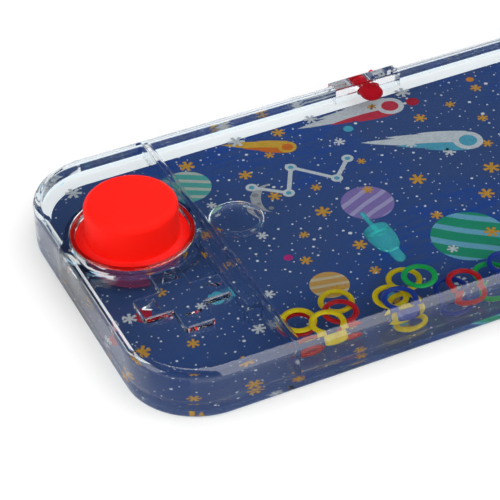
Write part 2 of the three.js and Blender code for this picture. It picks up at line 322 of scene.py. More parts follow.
def merged(solids: Iterable[BMesh]) -> BMesh:
    """Gathers solids in one mesh, as they are.

    Args:
        solids: The solids; they are freed.

    Returns:
        The mesh.
    """
    whole = bmesh.new()
    for solid in solids:
        mesh = as_mesh(solid, "part")
        whole.from_mesh(mesh)
        bpy.data.meshes.remove(mesh)
    return whole


def combined(solid: BMesh, tool: BMesh, cut: Cut) -> BMesh:
    """One solid joined with another, or with the other taken away.

    Args:
        solid: The solid to change; it is freed.
        tool: The solid that joins or cuts it; it is freed.
        cut: Which of the two.

    Returns:
        The result.
    """
    target, other = (linked(name, as_mesh(bm, name)) for name, bm in (("solid", solid), ("tool", tool)))
    modifier = target.modifiers.new("cut", "BOOLEAN")
    modifier.operation = cut.value
    modifier.solver = "EXACT"
    modifier.object = other
    evaluated = target.evaluated_get(bpy.context.evaluated_depsgraph_get())
    result = bmesh.new()
    result.from_mesh(evaluated.to_mesh())
    evaluated.to_mesh_clear()
    for used in (target, other):
        mesh = used.data
        bpy.data.objects.remove(used)
        bpy.data.meshes.remove(mesh)
    return result


def bevelled(bm: BMesh, pick: Callable[[BMEdge], bool], radius: float, steps: int) -> BMesh:
    """Rounds some edges of a solid.

    Args:
        bm: The solid.
        pick: True for an edge to round.
        radius: The radius of the round.
        steps: The number of facets across it.

    Returns:
        The same solid.
    """
    edges = [edge for edge in bm.edges if edge.is_manifold and pick(edge)]
    bmesh.ops.bevel(
        bm,
        geom=edges,
        offset=radius,
        offset_type="OFFSET",
        segments=steps,
        profile=0.5,
        affect="EDGES",
        clamp_overlap=True,
        material=-1,
    )
    return bm


def rim_at(height: float, sharp: float = 40) -> Callable[[BMEdge], bool]:
    """Makes a test for edges to round.

    Args:
        height: The Z of the edges.
        sharp: The least angle between an edge's faces in degrees.

    Returns:
        A test that is true for a sharp edge that lies level at that height.
    """

    def test(edge: BMEdge) -> bool:
        """True for a sharp edge at the height."""
        level = all(abs(vert.co.z - height) < HAIR for vert in edge.verts)
        return level and edge.calc_face_angle(0) > math.radians(sharp)

    return test


def finished(
    name: str, bm: BMesh, materials: Sequence[Material], shading: Shading = Shading.SMOOTH, sharp: float = 35
) -> Object:
    """Makes a piece of the object from its mesh.

    Args:
        name: The piece's name.
        bm: Its mesh in the frame's own place; it is freed.
        materials: Its materials, in the order of its faces' indices.
        shading: How its faces are shaded.
        sharp: The angle between two faces, in degrees, from which their edge stays sharp.

    Returns:
        The piece.
    """
    bm.normal_update()
    for face in bm.faces:
        square = max(abs(value) for value in face.normal) > SQUARE
        flat = shading is Shading.FLAT or (shading is Shading.FLAT_WHERE_SQUARE and square)
        face.smooth = not flat
    for edge in bm.edges:
        edge.smooth = not edge.is_manifold or edge.calc_face_angle(0) < math.radians(sharp)
    mesh = as_mesh(bm, name)
    for material in materials:
        mesh.materials.append(material)
    return linked(name, mesh)


# Finishes


@dataclass
class Nodes:
    """A node tree, with short calls that add nodes and join them."""

    tree: NodeTree

    @classmethod
    def of_material(cls, name: str) -> tuple[Material, "Nodes"]:
        """Makes a material.

        Args:
            name: Its name.

        Returns:
            The material and its empty node tree.
        """
        material = bpy.data.materials.new(name)
        material.use_nodes = True
        material.node_tree.nodes.clear()
        return material, cls(material.node_tree)

    def add(self, kind: str, sockets: dict | None = None, **settings) -> Node:
        """Adds a node.

        Args:
            kind: The node's type, without its ShaderNode prefix.
            sockets: Input name or index to a value, or to a socket to link.
            settings: The node's own settings.

        Returns:
            The node.
        """
        node = self.tree.nodes.new("ShaderNode" + kind)
        for key, value in settings.items():
            setattr(node, key, value)
        for key, value in (sockets or {}).items():
            if isinstance(value, NodeSocket):
                self.tree.links.new(value, node.inputs[key])
            else:
                node.inputs[key].default_value = value
        return node

    def out(self, kind: str, sockets: dict | None = None, **settings) -> NodeSocket:
        """Adds a node, and gives its first output."""
        return self.add(kind, sockets, **settings).outputs[0]

    def place(self, turn: float = 0, stretch: Point = (1, 1, 1)) -> NodeSocket:
        """Object coordinates, turned about Z in degrees and stretched."""
        sockets = {"Vector": self.add("TexCoord").outputs["Object"], "Scale": stretch}
        return self.out("Mapping", sockets | {"Rotation": (0, 0, math.radians(turn))})

    def noise(self, scale: float, detail: float = 2, vector: NodeSocket | None = None) -> NodeSocket:
        """A noise's value, its scale in waves to the metre."""
        vector = vector or self.place()
        return self.out("TexNoise", {"Vector": vector, "Scale": scale, "Detail": detail})

    def ranged(self, value: NodeSocket, low: float, high: float, source: Pair = (0, 1)) -> NodeSocket:
        """A value moved from its source range to another."""
        sockets = {"Value": value, "From Min": source[0], "From Max": source[1]}
        return self.out("MapRange", sockets | {"To Min": low, "To Max": high})

    def maths(self, operation: str, first: NodeSocket | float, second: NodeSocket | float = 0) -> NodeSocket:
        """The result of a Math node."""
        return self.out("Math", {0: first, 1: second}, operation=operation)

    def blended(self, share: NodeSocket, first: NodeSocket | Colour, second: Colour) -> NodeSocket:
        """Mixes two colours.

        Args:
            share: The second colour's share.
            first: The first colour.
            second: The second colour.

        Returns:
            The mix.
        """
        pair = [colour if isinstance(colour, NodeSocket) else (*colour, 1) for colour in (first, second)]
        return self.add("Mix", {0: share, 6: pair[0], 7: pair[1]}, data_type="RGBA").outputs[2]

    def bump(self, height: NodeSocket, depth: float, strength: float = 1) -> NodeSocket:
        """A normal bent by a height from 0 to 1 that is depth metres high."""
        return self.out("Bump", {"Strength": strength, "Distance": depth, "Height": height})

    def output(self, shader: NodeSocket, lamps_through: Pair | None = None) -> None:
        """Ends the tree in a shader.

        Args:
            shader: The finished shader.
            lamps_through: For a clear finish, the share of lamp light that passes an upright face and a level
                one. Walls bend more of it away, which leaves the soft shadow beside the case.
        """
        if lamps_through:
            is_shadow = self.add("LightPath").outputs["Is Shadow Ray"]
            normal = self.add("NewGeometry").outputs["True Normal"]
            level = self.maths("ABSOLUTE", self.add("SeparateXYZ", {0: normal}).outputs["Z"])
            share = self.ranged(level, *lamps_through)
            tint = self.out("CombineColor", {0: share, 1: share, 2: share})
            clear = self.out("BsdfTransparent", {"Color": tint})
            shader = self.out("MixShader", {0: is_shadow, 1: shader, 2: clear})
        self.add("OutputMaterial", {"Surface": shader})

    def surface(self, sockets: dict, lamps_through: Pair | None = None) -> None:
        """Ends the tree in a Principled shader."""
        self.output(self.out("BsdfPrincipled", sockets), lamps_through)


@dataclass(frozen=True)
class ClearPlastic:
    """Polished clear plastic, or the face of it that is wet.

    Outside the heights in held, the face bends light only by slack, so the room shows through it.
    """

    name: str
    tint: Colour = (0.965, 0.98, 0.985)
    bends: float = 1.55
    mirrors: float = 1.0
    roughness: float = 0.012
    ripple: float = 0.004 * MM
    lamps_through: Pair = (1.0, 1.0)
    clear: float = 1.0
    held: Pair | None = None
    slack: float = 1.1
    fade: Pair = (0.2 * MM, 1.2 * MM)

    def material(self) -> Material:
        """Makes clear plastic with faint moulding ripples, and a gloss that varies a little.

        Returns:
            The material.
        """
        material, nodes = Nodes.of_material(self.name)
        sockets = {
            "Base Color": (*self.tint, 1),
            "Transmission Weight": self.clear,
            "IOR": self._bending(nodes) if self.held else self.bends,
            "Roughness": nodes.ranged(nodes.noise(300, 3), 0.4 * self.roughness, 1.6 * self.roughness),
            "Specular Tint": (self.mirrors, self.mirrors, self.mirrors, 1),
            "Normal": nodes.bump(nodes.noise(60, 1), self.ripple),
        }
        nodes.surface(sockets, self.lamps_through)
        return material

    def _bending(self, nodes: Nodes) -> NodeSocket:
        """Makes the index of refraction by height: full between the held heights, and slack beyond them.

        Args:
            nodes: The material's nodes.

        Returns:
            The index.
        """
        height = nodes.add("SeparateXYZ", {0: nodes.place()}).outputs["Z"]
        low, high = self.held
        above = nodes.ranged(height, self.slack, self.bends, (low - self.fade[0], low))
        below = nodes.ranged(height, self.bends, self.slack, (high - self.fade[1], high + self.fade[1]))
        return nodes.maths("MINIMUM", above, below)


@dataclass(frozen=True)
class SoftRubber:
    """Matt coloured rubber with a fine moulded grain."""

    name: str
    colour: Colour
    shade: Colour
    roughness: float = 0.55
    grain: float = 0.012 * MM

    def material(self) -> Material:
        """Makes rubber of even colour, with faint clouds, a fine grain and a soft sheen.

        Returns:
            The material.
        """
        material, nodes = Nodes.of_material(self.name)
        clouds = nodes.ranged(nodes.noise(180, 4), 0, 1, (0.35, 0.7))
        grain = nodes.noise(5200, 2)
        sockets = {
            "Base Color": nodes.blended(clouds, self.colour, self.shade),
            "Roughness": nodes.ranged(grain, self.roughness - 0.06, self.roughness + 0.1),
            "Specular IOR Level": 0.15,
            "Normal": nodes.bump(grain, self.grain, 0.5),
            "Subsurface Weight": 0.08,
            "Subsurface Radius": (0.8 * MM, 0.2 * MM, 0.1 * MM),
            "Subsurface Scale": 1.0,
        }
        nodes.surface(sockets)
        return material


@dataclass(frozen=True)
class RingPlastic:
    """Glossy coloured plastic of the loose rings."""

    name: str
    colour: Colour
    shade: Colour
    waves: float = 0.02 * MM

    def material(self) -> Material:
        """Makes plastic of solid colour with a faint flow pattern.

        Returns:
            The material.
        """
        material, nodes = Nodes.of_material(self.name)
        flow = nodes.ranged(nodes.noise(700, 3), 0, 1, (0.4, 0.65))
        sockets = {
            "Base Color": nodes.blended(flow, self.colour, self.shade),
            "Roughness": nodes.ranged(nodes.noise(2500, 2), 0.25, 0.42),
            "Normal": nodes.bump(nodes.noise(1500, 2), self.waves, 0.4),
        }
        nodes.surface(sockets)
        return material


@dataclass(frozen=True)
class Ink:
    """One flat printing ink of the card, a little uneven as print is."""

    name: str
    colour: Colour
    uneven: float = 0.12

    def material(self) -> Material:
        """Makes ink with faint brush marks.

        Returns:
            The material.
        """
        material, nodes = Nodes.of_material(self.name)
        marks = nodes.noise(900, 4, nodes.place(35, (1, 4, 1)))
        dark = tuple(channel * (1 - 2 * self.uneven) for channel in self.colour)
        colour = nodes.blended(nodes.ranged(marks, 0, 1, (0.35, 0.7)), self.colour, dark)
        nodes.surface({"Base Color": colour, "Roughness": nodes.ranged(marks, 0.5, 0.65)})
        return material


@dataclass(frozen=True)
class BandedInk:
    """The ink of a striped planet: two colours in wavy bands."""

    name: str
    ground: Colour
    band: Colour
    turn: float
    spacing: float
    share: float = 0.3
    soft: float = 0.06

    def material(self) -> Material:
        """Makes wavy bands across the planet, with brush marks.

        Returns:
            The material.
        """
        material, nodes = Nodes.of_material(self.name)
        place = {"Vector": nodes.place(self.turn), "Scale": math.pi / (10 * self.spacing)}
        waviness = {"Distortion": 2.2, "Detail": 1, "Detail Scale": 0.6}
        wave = nodes.add("TexWave", place | waviness, wave_type="BANDS", bands_direction="Y").outputs["Fac"]
        start = 1 - self.share
        edge = nodes.ranged(wave, 0, 1, (start - self.soft, start + self.soft))
        marks = nodes.ranged(nodes.noise(900, 4, nodes.place(self.turn, (1, 4, 1))), 0.75, 1.1)
        colour = nodes.blended(edge, self.ground, self.band)
        shade = nodes.out("VectorMath", {0: colour, "Scale": marks}, operation="SCALE")
        nodes.surface({"Base Color": shade, "Roughness": 0.55})
        return material


@dataclass(frozen=True)
class NightSky:
    """The card's printed ground: a deep blue sky with brushed lights and fine white stars.

    Each layer of stars has its spacing and size, as shares of the values here, and the share of its cells
    that stay empty.
    """

    name: str = "night_sky_print"
    deep: Colour = (0.044, 0.09, 0.255)
    lit: Colour = (0.008, 0.075, 0.42)
    star: Colour = (0.86, 0.9, 0.95)
    star_spacing: float = 4.4 * MM
    star_radius: float = 0.34 * MM
    layers: tuple[Point, ...] = ((1.0, 1.0, 0.35), (0.62, 0.62, 0.45), (1.7, 1.5, 0.62))

    def material(self) -> Material:
        """Makes brushed blues under layers of stars.

        Returns:
            The material.
        """
        material, nodes = Nodes.of_material(self.name)
        patches = nodes.ranged(nodes.noise(16, 3, nodes.place(20)), 0, 1, (0.46, 0.62))
        brush = nodes.ranged(nodes.noise(120, 5, nodes.place(32, (1, 5, 1))), 0, 1, (0.35, 0.7))
        colour = nodes.blended(nodes.maths("MULTIPLY", patches, brush), self.deep, self.lit)
        for layer, (scale, size, few) in enumerate(self.layers):
            spacing, radius = scale * self.star_spacing, size * self.star_radius
            colour = self._stars(nodes, colour, layer, spacing, radius, few)
        nodes.surface({"Base Color": colour, "Roughness": 0.5})
        return material

    def _stars(
        self, nodes: Nodes, under: NodeSocket, layer: int, spacing: float, radius: float, few: float
    ) -> NodeSocket:
        """Adds one layer of round stars.

        Args:
            nodes: The tree.
            under: The colour below the stars.
            layer: The layer's number, which sets it apart from the others.
            spacing: The mean distance between the cells that may hold a star.
            radius: The largest radius of a star.
            few: The share of the cells that stay empty.

        Returns:
            The colour with the stars.
        """
        coordinates = nodes.add("TexCoord").outputs["Object"]
        shift = (0.013 * layer + 0.5, 0.021 * layer + 0.5, 0)
        vector = nodes.out("Mapping", {"Vector": coordinates, "Location": shift})
        sockets = {"Vector": vector, "Scale": 1 / spacing, "Randomness": 0.9}
        cells = nodes.add("TexVoronoi", sockets, voronoi_dimensions="2D", feature="F1").outputs
        chance = nodes.out("SeparateColor", {0: cells["Color"]})
        shown = nodes.maths("GREATER_THAN", chance, few)
        edge = nodes.maths("MULTIPLY", nodes.ranged(chance, 0.45, 1.0, (few, 1)), radius / spacing)
        disc = nodes.maths("LESS_THAN", cells["Distance"], edge)
        return nodes.blended(nodes.maths("MULTIPLY", shown, disc), under, self.star)


@dataclass(frozen=True)
class Palette:
    """All finishes of the game, made once and shared by its pieces."""

    clear: Material
    wet: Material
    side: Material
    rim: Material
    foot: Material
    neck: Material
    far: Material
    water: Material
    teal: Material
    rubber: Material
    bellows: Material
    plug: Material
    sky: Material
    edge: Material
    rings: dict[str, Material]

    @classmethod
    def made(cls) -> "Palette":
        """Makes every finish.

        Returns:
            The palette.
        """
        case = {"lamps_through": THROUGH_CASE}
        finishes = {
            "clear": ClearPlastic("clear_plastic", **case),
            "wet": ClearPlastic("wet_clear_plastic", mirrors=0.0),
            "side": ClearPlastic("clear_side_plastic", mirrors=0.25, **case),
            "rim": ClearPlastic("blue_rim_plastic", (0.1, 0.5, 0.9), **case),
            "foot": ClearPlastic("plate_foot_plastic", mirrors=0.0),
            "neck": ClearPlastic("neck_plastic", (0.9, 0.89, 0.93), 1.25, 0.6, **case),
            "far": ClearPlastic("far_wall_plastic", (0.9, 0.965, 1.0), held=(3.9 * MM, 8.4 * MM), **case),
            "water": ClearPlastic("water", (0.96, 0.985, 1), 1.33, 0.1, roughness=0.0),
            "teal": ClearPlastic("teal_plastic", (0.14, 0.8, 0.77), 1.25, ripple=0.02 * MM, clear=0.82),
            "rubber": SoftRubber("button_rubber", (1.0, 0.01, 0.004), (1.0, 0.008, 0.003)),
            "bellows": SoftRubber("bellows_rubber", (0.92, 0.008, 0.004), (0.8, 0.005, 0.003), 0.4),
            "plug": SoftRubber("plug_rubber", (0.85, 0.011, 0.03), (0.74, 0.008, 0.02), 0.4),
            "sky": NightSky(),
            "edge": Ink("card_edge_blue", (0.03, 0.42, 0.86)),
        }
        colours = {
            "red": ((0.65, 0.012, 0.022), (0.53, 0.006, 0.014)),
            "yellow": ((1.0, 0.8, 0.01), (0.95, 0.68, 0.005)),
            "green": ((0.006, 0.5, 0.11), (0.003, 0.4, 0.075)),
            "blue": ((0.012, 0.05, 0.39), (0.008, 0.035, 0.3)),
        }
        rings = {
            word: RingPlastic(f"{word}_ring_plastic", *pair).material() for word, pair in colours.items()
        }
        return cls(rings=rings, **{part: finish.material() for part, finish in finishes.items()})


# Pieces


def placed(piece: Object, body: str, slot: str, *nodes: str) -> Object:
    """Ties a piece to the frame.

    Args:
        piece: The piece.
        body: The body that it rides.
        slot: Its slot in the record; it is not used.
        nodes: The nodes that it stands for.

    Returns:
        The same piece.
    """
    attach(piece, body)
    if nodes:
        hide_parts(*nodes)
    LOG.info("%s: %d faces", piece.name, len(piece.data.polygons))
    return piece


@dataclass
class CaseSizes:
    """The driving sizes of the clear case, some of them read from the frame."""

    wall: float = 2.0 * MM
    face: float = 1.5 * MM
    corner: float = 17.2 * MM
    pad_rise: float = 1.5 * MM
    partition: float = 1.4 * MM
    partition_lap: float = 0.3 * MM
    well: float = 14.7 * MM
    well_wall: float = 1.2 * MM
    ledge: float = 1.5 * MM
    ledge_top: float = 9.8 * MM
    channel: float = 3.4 * MM
    channel_wall: float = 1.2 * MM
    channel_end: float = 15.7 * MM
    port_height: float = 3.6 * MM
    pump_water: float = 2.3 * MM
    jet: float = 3 * MM
    jet_setback: float = 0.5 * MM
    bore: float = 3.2 * MM
    lap: float = 0.04 * MM
    corner_steps: int = 28
    well_steps: int = 96

    def __post_init__(self) -> None:
        """Reads the outer sizes from the frame and works out the places inside."""
        shell_low, shell_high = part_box("front_shell")
        self.plate_low, self.plate_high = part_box("back_plate")
        self.neck_low, self.neck_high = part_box("filler_neck")
        self.neck_middle = (self.neck_low.x + self.neck_high.x) / 2
        button_low, button_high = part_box("right_pump_button")
        self.length = shell_high.x - shell_low.x
        self.width = shell_high.y - shell_low.y
        self.bottom = shell_low.z
        self.top = shell_high.z - self.pad_rise
        self.ceiling = self.top - self.face
        self.hollow = (self.length - 2 * self.wall, self.width - 2 * self.wall)
        self.well_outer = self.well + self.well_wall
        self.chamber = self.well - self.ledge
        centre = (button_low + button_high) / 2
        self.pump = (centre.x, centre.y)
        self.partition_outer = self.pump[0] - self.well_outer + self.partition_lap
        self.tank_half = self.partition_outer - self.partition
        self.tank_side = self.hollow[1] / 2
        self.channel_inner = self.partition_outer + self.channel
        self.channel_outer = self.channel_inner + self.channel_wall
        self.channel_near = self.channel_end - self.tank_side
        self.port = (
            (self.partition_outer, self.channel_inner),
            (self.pump[1] - self.chamber, self.pump[1] - self.channel),
        )
        self.filler_height = (self.bottom + self.ceiling) / 2
        self.probe = 3 * self.lap

    def wet(self, point: Vector) -> bool:
        """Tests a point for the water that fills the case and stands low in its pump chambers.

        Args:
            point: The point.

        Returns:
            True where the point is in the water.
        """
        if not self.bottom - self.lap < point.z < self.ceiling + self.lap:
            return False
        x, y = abs(point.x), point.y
        from_pump = math.hypot(x - self.pump[0], y - self.pump[1])
        in_pump_water = point.z < self.bottom + self.pump_water
        if from_pump < self.chamber:
            return in_pump_water
        (left, right), (near, far) = self.port
        in_port = left < x < right and near < y < far and in_pump_water
        in_hollow = x < self.hollow[0] / 2 and abs(y) < self.tank_side
        return in_port or (in_hollow and from_pump > self.well)

    def depth_inside(self, point: Vector) -> float:
        """Measures how far inside the case's upright outline a point is.

        Args:
            point: The point.

        Returns:
            The distance, below zero outside.
        """
        halves = (self.length / 2, self.width / 2)
        beyond = Vector([max(abs(value) - half + self.corner, 0) for value, half in zip(point, halves)])
        return self.corner - beyond.length

    def well_disc(self, hand: Hand, radius: float, heights: Sequence[float]) -> BMesh:
        """An upright disc about one pump's middle."""
        place = (hand.value * self.pump[0], self.pump[1], 0)
        return moved(cylinder(radius, heights, self.well_steps), place)

    def inner_walls(self, hand: Hand, slack: float, heights: Sequence[float]) -> list[BMesh]:
        """Makes the partition and the channel's two walls on one side.

        Args:
            hand: The side.
            slack: How much thinner they are on every upright face.
            heights: Their lowest and highest Z.

        Returns:
            The three walls.
        """
        reach = self.tank_side + self.wall / 2
        near = self.channel_near - self.channel_wall
        inner, outer = self.partition_outer, self.channel_outer
        spans = [
            ((self.tank_half, self.partition_outer), (-reach, reach)),
            ((self.channel_inner, outer), (near, self.pump[1])),
            ((inner - self.partition / 2, outer), (near, self.channel_near)),
        ]
        walls = []
        for across, along in spans:
            thin = [(span[0] + slack, span[1] - slack) for span in (across, along)]
            walls.append(sided(hand, *thin, heights))
        return walls

    def jet_hole(self, hand: Hand, slack: float, low: float) -> BMesh:
        """Makes the jet through a partition.

        Args:
            hand: The side.
            slack: How much larger it is all round.
            low: Its lowest Z.

        Returns:
            The hole as a solid.
        """
        near = self.channel_near + self.jet_setback
        across = (self.tank_half - self.wall / 4, self.partition_outer + self.wall / 4)
        along = (near - slack, near + self.jet + slack)
        return sided(hand, across, along, (low, self.bottom + self.jet + slack))


@dataclass
class ClearCase:
    """The clear shell with its walls, wells and pads, the neck in its far wall, and the plate below.

    An arrow has a length, a width and a depth. A sink mark has the radius of its round, and the height of its
    middle over the face.
    """

    sizes: CaseSizes
    palette: Palette
    fillet: float = 2.2 * MM
    foot_round: float = 0.08 * MM
    plate_round: float = 0.12 * MM
    plate_foot: float = 0.5 * MM
    neck_round: float = 0.25 * MM
    pad_round: float = 0.3 * MM
    pad_span: float = 20.8 * MM
    pad_arm: float = 7.2 * MM
    pad_corner: float = 0.8 * MM
    pad_gap: float = 3.1 * MM
    arrow: Point = (3.6 * MM, 4.4 * MM, 0.8 * MM)
    arrow_gap: float = 0.9 * MM
    round_pad: float = 3.4 * MM
    sink: Pair = (0.34 * MM, 0.2 * MM)

    def build(self) -> list[Object]:
        """Builds the shell, the neck and the plate.

        Returns:
            The three pieces.
        """
        palette = self.palette
        skins = [getattr(palette, skin.name.lower()) for skin in Skin]
        pieces = {"front_shell": self._shell(), "filler_neck": self._neck(), "back_plate": self._plate()}
        self._mark_wet(pieces["front_shell"])
        self._mark_far(pieces["front_shell"])
        self._mark_wet(pieces["filler_neck"])
        made = []
        for node, solid in pieces.items():
            own = [palette.neck, palette.wet, palette.neck] if node == "filler_neck" else skins
            piece = finished(f"clear_{node}", solid, own, Shading.FLAT_WHERE_SQUARE)
            made.append(placed(piece, CASE_BODY, "clear_plastic", node))
        return made

    def _mark_wet(self, bm: BMesh) -> None:
        """Gives faces that water or the plate touches the wet finish, and outer upright ones the side's.

        Args:
            bm: The solid.
        """
        s = self.sizes
        bm.normal_update()
        for face in bm.faces:
            middle = face.calc_center_median()
            probe = middle + face.normal * s.probe
            seated = middle.z < s.bottom + s.lap and face.normal.z < -LEVEL
            outer = abs(face.normal.z) < UPRIGHT and s.depth_inside(probe) < 0
            skin = Skin.WET if s.wet(probe) or seated else Skin.SIDE if outer else Skin.CLEAR
            face.material_index = skin.value

    def _mark_far(self, bm: BMesh) -> None:
        """Gives the far wall's outer faces, and the round above them, the finish that the room shows through.

        Args:
            bm: The shell.
        """
        s = self.sizes
        for face in bm.faces:
            middle = face.calc_center_median()
            reach = self.fillet if middle.z > s.top - self.fillet and abs(face.normal.z) < LEVEL else 0
            outer = s.depth_inside(middle + face.normal * s.probe) < reach
            if outer and face.normal.y > FARWARD and middle.z > s.bottom:
                face.material_index = Skin.FAR.value

    def _shell(self) -> BMesh:
        """Builds the whole shell.

        Returns:
            The shell as one solid.
        """
        s = self.sizes
        shell = rounded_slab((s.length, s.width), s.corner, (s.bottom, s.top), s.corner_steps)
        bevelled(shell, rim_at(s.top), self.fillet, 10)
        bevelled(shell, rim_at(s.bottom), self.foot_round, 3)
        hollow = rounded_slab(s.hollow, s.corner - s.wall, (s.bottom - s.wall, s.ceiling), s.corner_steps)
        shell = combined(shell, hollow, Cut.TAKE)
        heights = (s.bottom, s.ceiling + s.face / 2)
        for hand in Hand:
            for wall in (s.well_disc(hand, s.well_outer, heights), *s.inner_walls(hand, 0, heights)):
                shell = combined(shell, wall, Cut.JOIN)
        for pad in (self._direction_pad(), *self._round_pads()):
            shell = combined(shell, pad, Cut.JOIN)
        for hole in [hole for hand in Hand for hole in self._pump_holes(hand)]:
            shell = combined(shell, hole, Cut.TAKE)
        shell = combined(shell, merged(self._sink_marks()), Cut.TAKE)
        return combined(shell, self._neck_block(-s.lap, s.wall), Cut.TAKE)

    def _sink_marks(self) -> list[BMesh]:
        """Makes shallow lines for the face, along the edges of the partitions and of the channels' walls.

        Returns:
            The lines as solids to take away.
        """
        s = self.sizes
        radius, lift = self.sink
        lines = [
            (s.tank_half, (-s.tank_side, s.tank_side)),
            (s.partition_outer, (-s.tank_side, s.tank_side)),
            (s.channel_inner, (s.channel_near, s.pump[1] - s.chamber)),
        ]
        return [
            moved(cylinder(radius, along, 24), (hand.value * out, 0, s.top + lift), ALONG_Y)
            for hand in Hand
            for out, along in lines
        ]

    def _pump_holes(self, hand: Hand) -> list[BMesh]:
        """Makes the well, the chamber, the port to the channel and the jet.

        Args:
            hand: The side that they are on.

        Returns:
            The holes as solids.
        """
        s = self.sizes
        low = s.bottom - s.wall
        return [
            s.well_disc(hand, s.well, (s.ledge_top, s.top + s.wall)),
            s.well_disc(hand, s.chamber, (low, s.top)),
            sided(hand, *s.port, (low, s.bottom + s.port_height)),
            s.jet_hole(hand, 0, low),
        ]

    def _neck_block(self, slack: float, over: float) -> BMesh:
        """Makes the neck's block.

        Args:
            slack: How much larger it is beside and in front.
            over: How much larger it is at its far and level faces.

        Returns:
            The block.
        """
        low, high = self.sizes.neck_low, self.sizes.neck_high
        near = (low.x - slack, low.y - slack, low.z - over)
        return box_solid(near, (high.x + slack, high.y + over, high.z + over))

    def _neck(self) -> BMesh:
        """Builds the thick block in the far wall with the filler hole along Y.

        Returns:
            The block with its hole.
        """
        s = self.sizes
        block = self._neck_block(0, 0)
        bevelled(block, lambda edge: all(vert.co.z > s.ceiling for vert in edge.verts), self.neck_round, 3)
        bore = cylinder(s.bore, (s.neck_low.y - s.wall, s.neck_high.y + s.wall), 48)
        moved(bore, (s.neck_middle, 0, s.filler_height), ALONG_Y)
        return combined(block, bore, Cut.TAKE)

    def _pad_centre(self) -> Pair:
        """How far out and up the pads' centres are."""
        s = self.sizes
        return s.pump[0], s.pump[1] - s.well - self.pad_gap - self.pad_span / 2

    def _pad_heights(self) -> Pair:
        """The lowest and highest Z of the pads, which start inside the face."""
        s = self.sizes
        return s.ceiling + s.face / 2, s.top + s.pad_rise

    def _direction_pad(self) -> BMesh:
        """Builds the four-way pad on the left, an arrow sunk into each arm.

        Returns:
            The pad.
        """
        low, high = self._pad_heights()
        half, arm = self.pad_span / 2, self.pad_arm / 2
        bm = flat_sheet((self.pad_arm, self.pad_arm))
        for edge in list(bm.edges):
            way = sum((vert.co for vert in edge.verts), Vector()).normalized()
            made = bmesh.ops.extrude_edge_only(bm, edges=[edge])["geom"]
            verts = [item for item in made if isinstance(item, BMVert)]
            bmesh.ops.translate(bm, vec=way * (half - arm), verts=verts)
        ends = [vert for vert in bm.verts if max(abs(vert.co.x), abs(vert.co.y)) > half - 10 * HAIR]
        round_corners(bm, ends, self.pad_corner, 6)
        thickened(moved(bm, (0, 0, low)), high - low)
        bmesh.ops.dissolve_limit(bm, angle_limit=0.01, verts=bm.verts, edges=bm.edges)
        bevelled(bm, rim_at(high), self.pad_round, 4)
        for quarter in range(4):
            bm = combined(bm, moved(self._arrow(high), turn=rotation(90 * quarter, "Z")), Cut.TAKE)
        out, up = self._pad_centre()
        return moved(bm, (-out, up, 0))

    def _arrow(self, high: float) -> BMesh:
        """Makes the triangle that is sunk into an arm's end and points along +X.

        Args:
            high: The Z of the pad's top.

        Returns:
            The triangle as a solid.
        """
        length, width, depth = self.arrow
        tip = self.pad_span / 2 - self.arrow_gap
        bm = bmesh.new()
        corners = [(tip, 0), (tip - length, width / 2), (tip - length, -width / 2)]
        bm.faces.new([bm.verts.new((x, y, high - depth)) for x, y in corners])
        return thickened(bm, 2 * depth)

    def _round_pads(self) -> list[BMesh]:
        """Builds the four round pads on the right.

        Returns:
            The pads.
        """
        out, up = self._pad_centre()
        reach = self.pad_span / 2 - self.round_pad
        low, high = self._pad_heights()
        edge = self.pad_round
        rounded = arc((self.round_pad - edge, high - edge), edge, (0, 90), 5)
        profile = [(0, low), (self.round_pad, low), *rounded, (0, high)]
        places = [(out + reach, up), (out, up + reach), (out - reach, up), (out, up - reach)]
        return [moved(turned(profile, 48), (x, y, 0)) for x, y in places]

    def _plate(self) -> BMesh:
        """Builds the back plate, its edges rounded, and marks the finish of each face.

        Returns:
            The plate.
        """
        s = self.sizes
        low, high = s.plate_low, s.plate_high
        top = high.z + s.lap
        plate = rounded_slab((high.x - low.x, high.y - low.y), s.corner, (low.z, top), s.corner_steps)
        bevelled(plate, rim_at(top), self.plate_round, 4)
        bevelled(plate, rim_at(low.z), self.plate_foot, 3)
        plate.normal_update()
        for face in plate.faces:
            lowest = face.calc_center_median().z < low.z + self.plate_foot
            if abs(face.normal.z) > LEVEL:
                skin = Skin.FOOT if lowest else Skin.WET
            elif face.normal.y > FARWARD:
                skin = Skin.SIDE if lowest else Skin.FAR
            else:
                skin = Skin.RIM if lowest else Skin.SIDE
            face.material_index = skin.value
        return plate


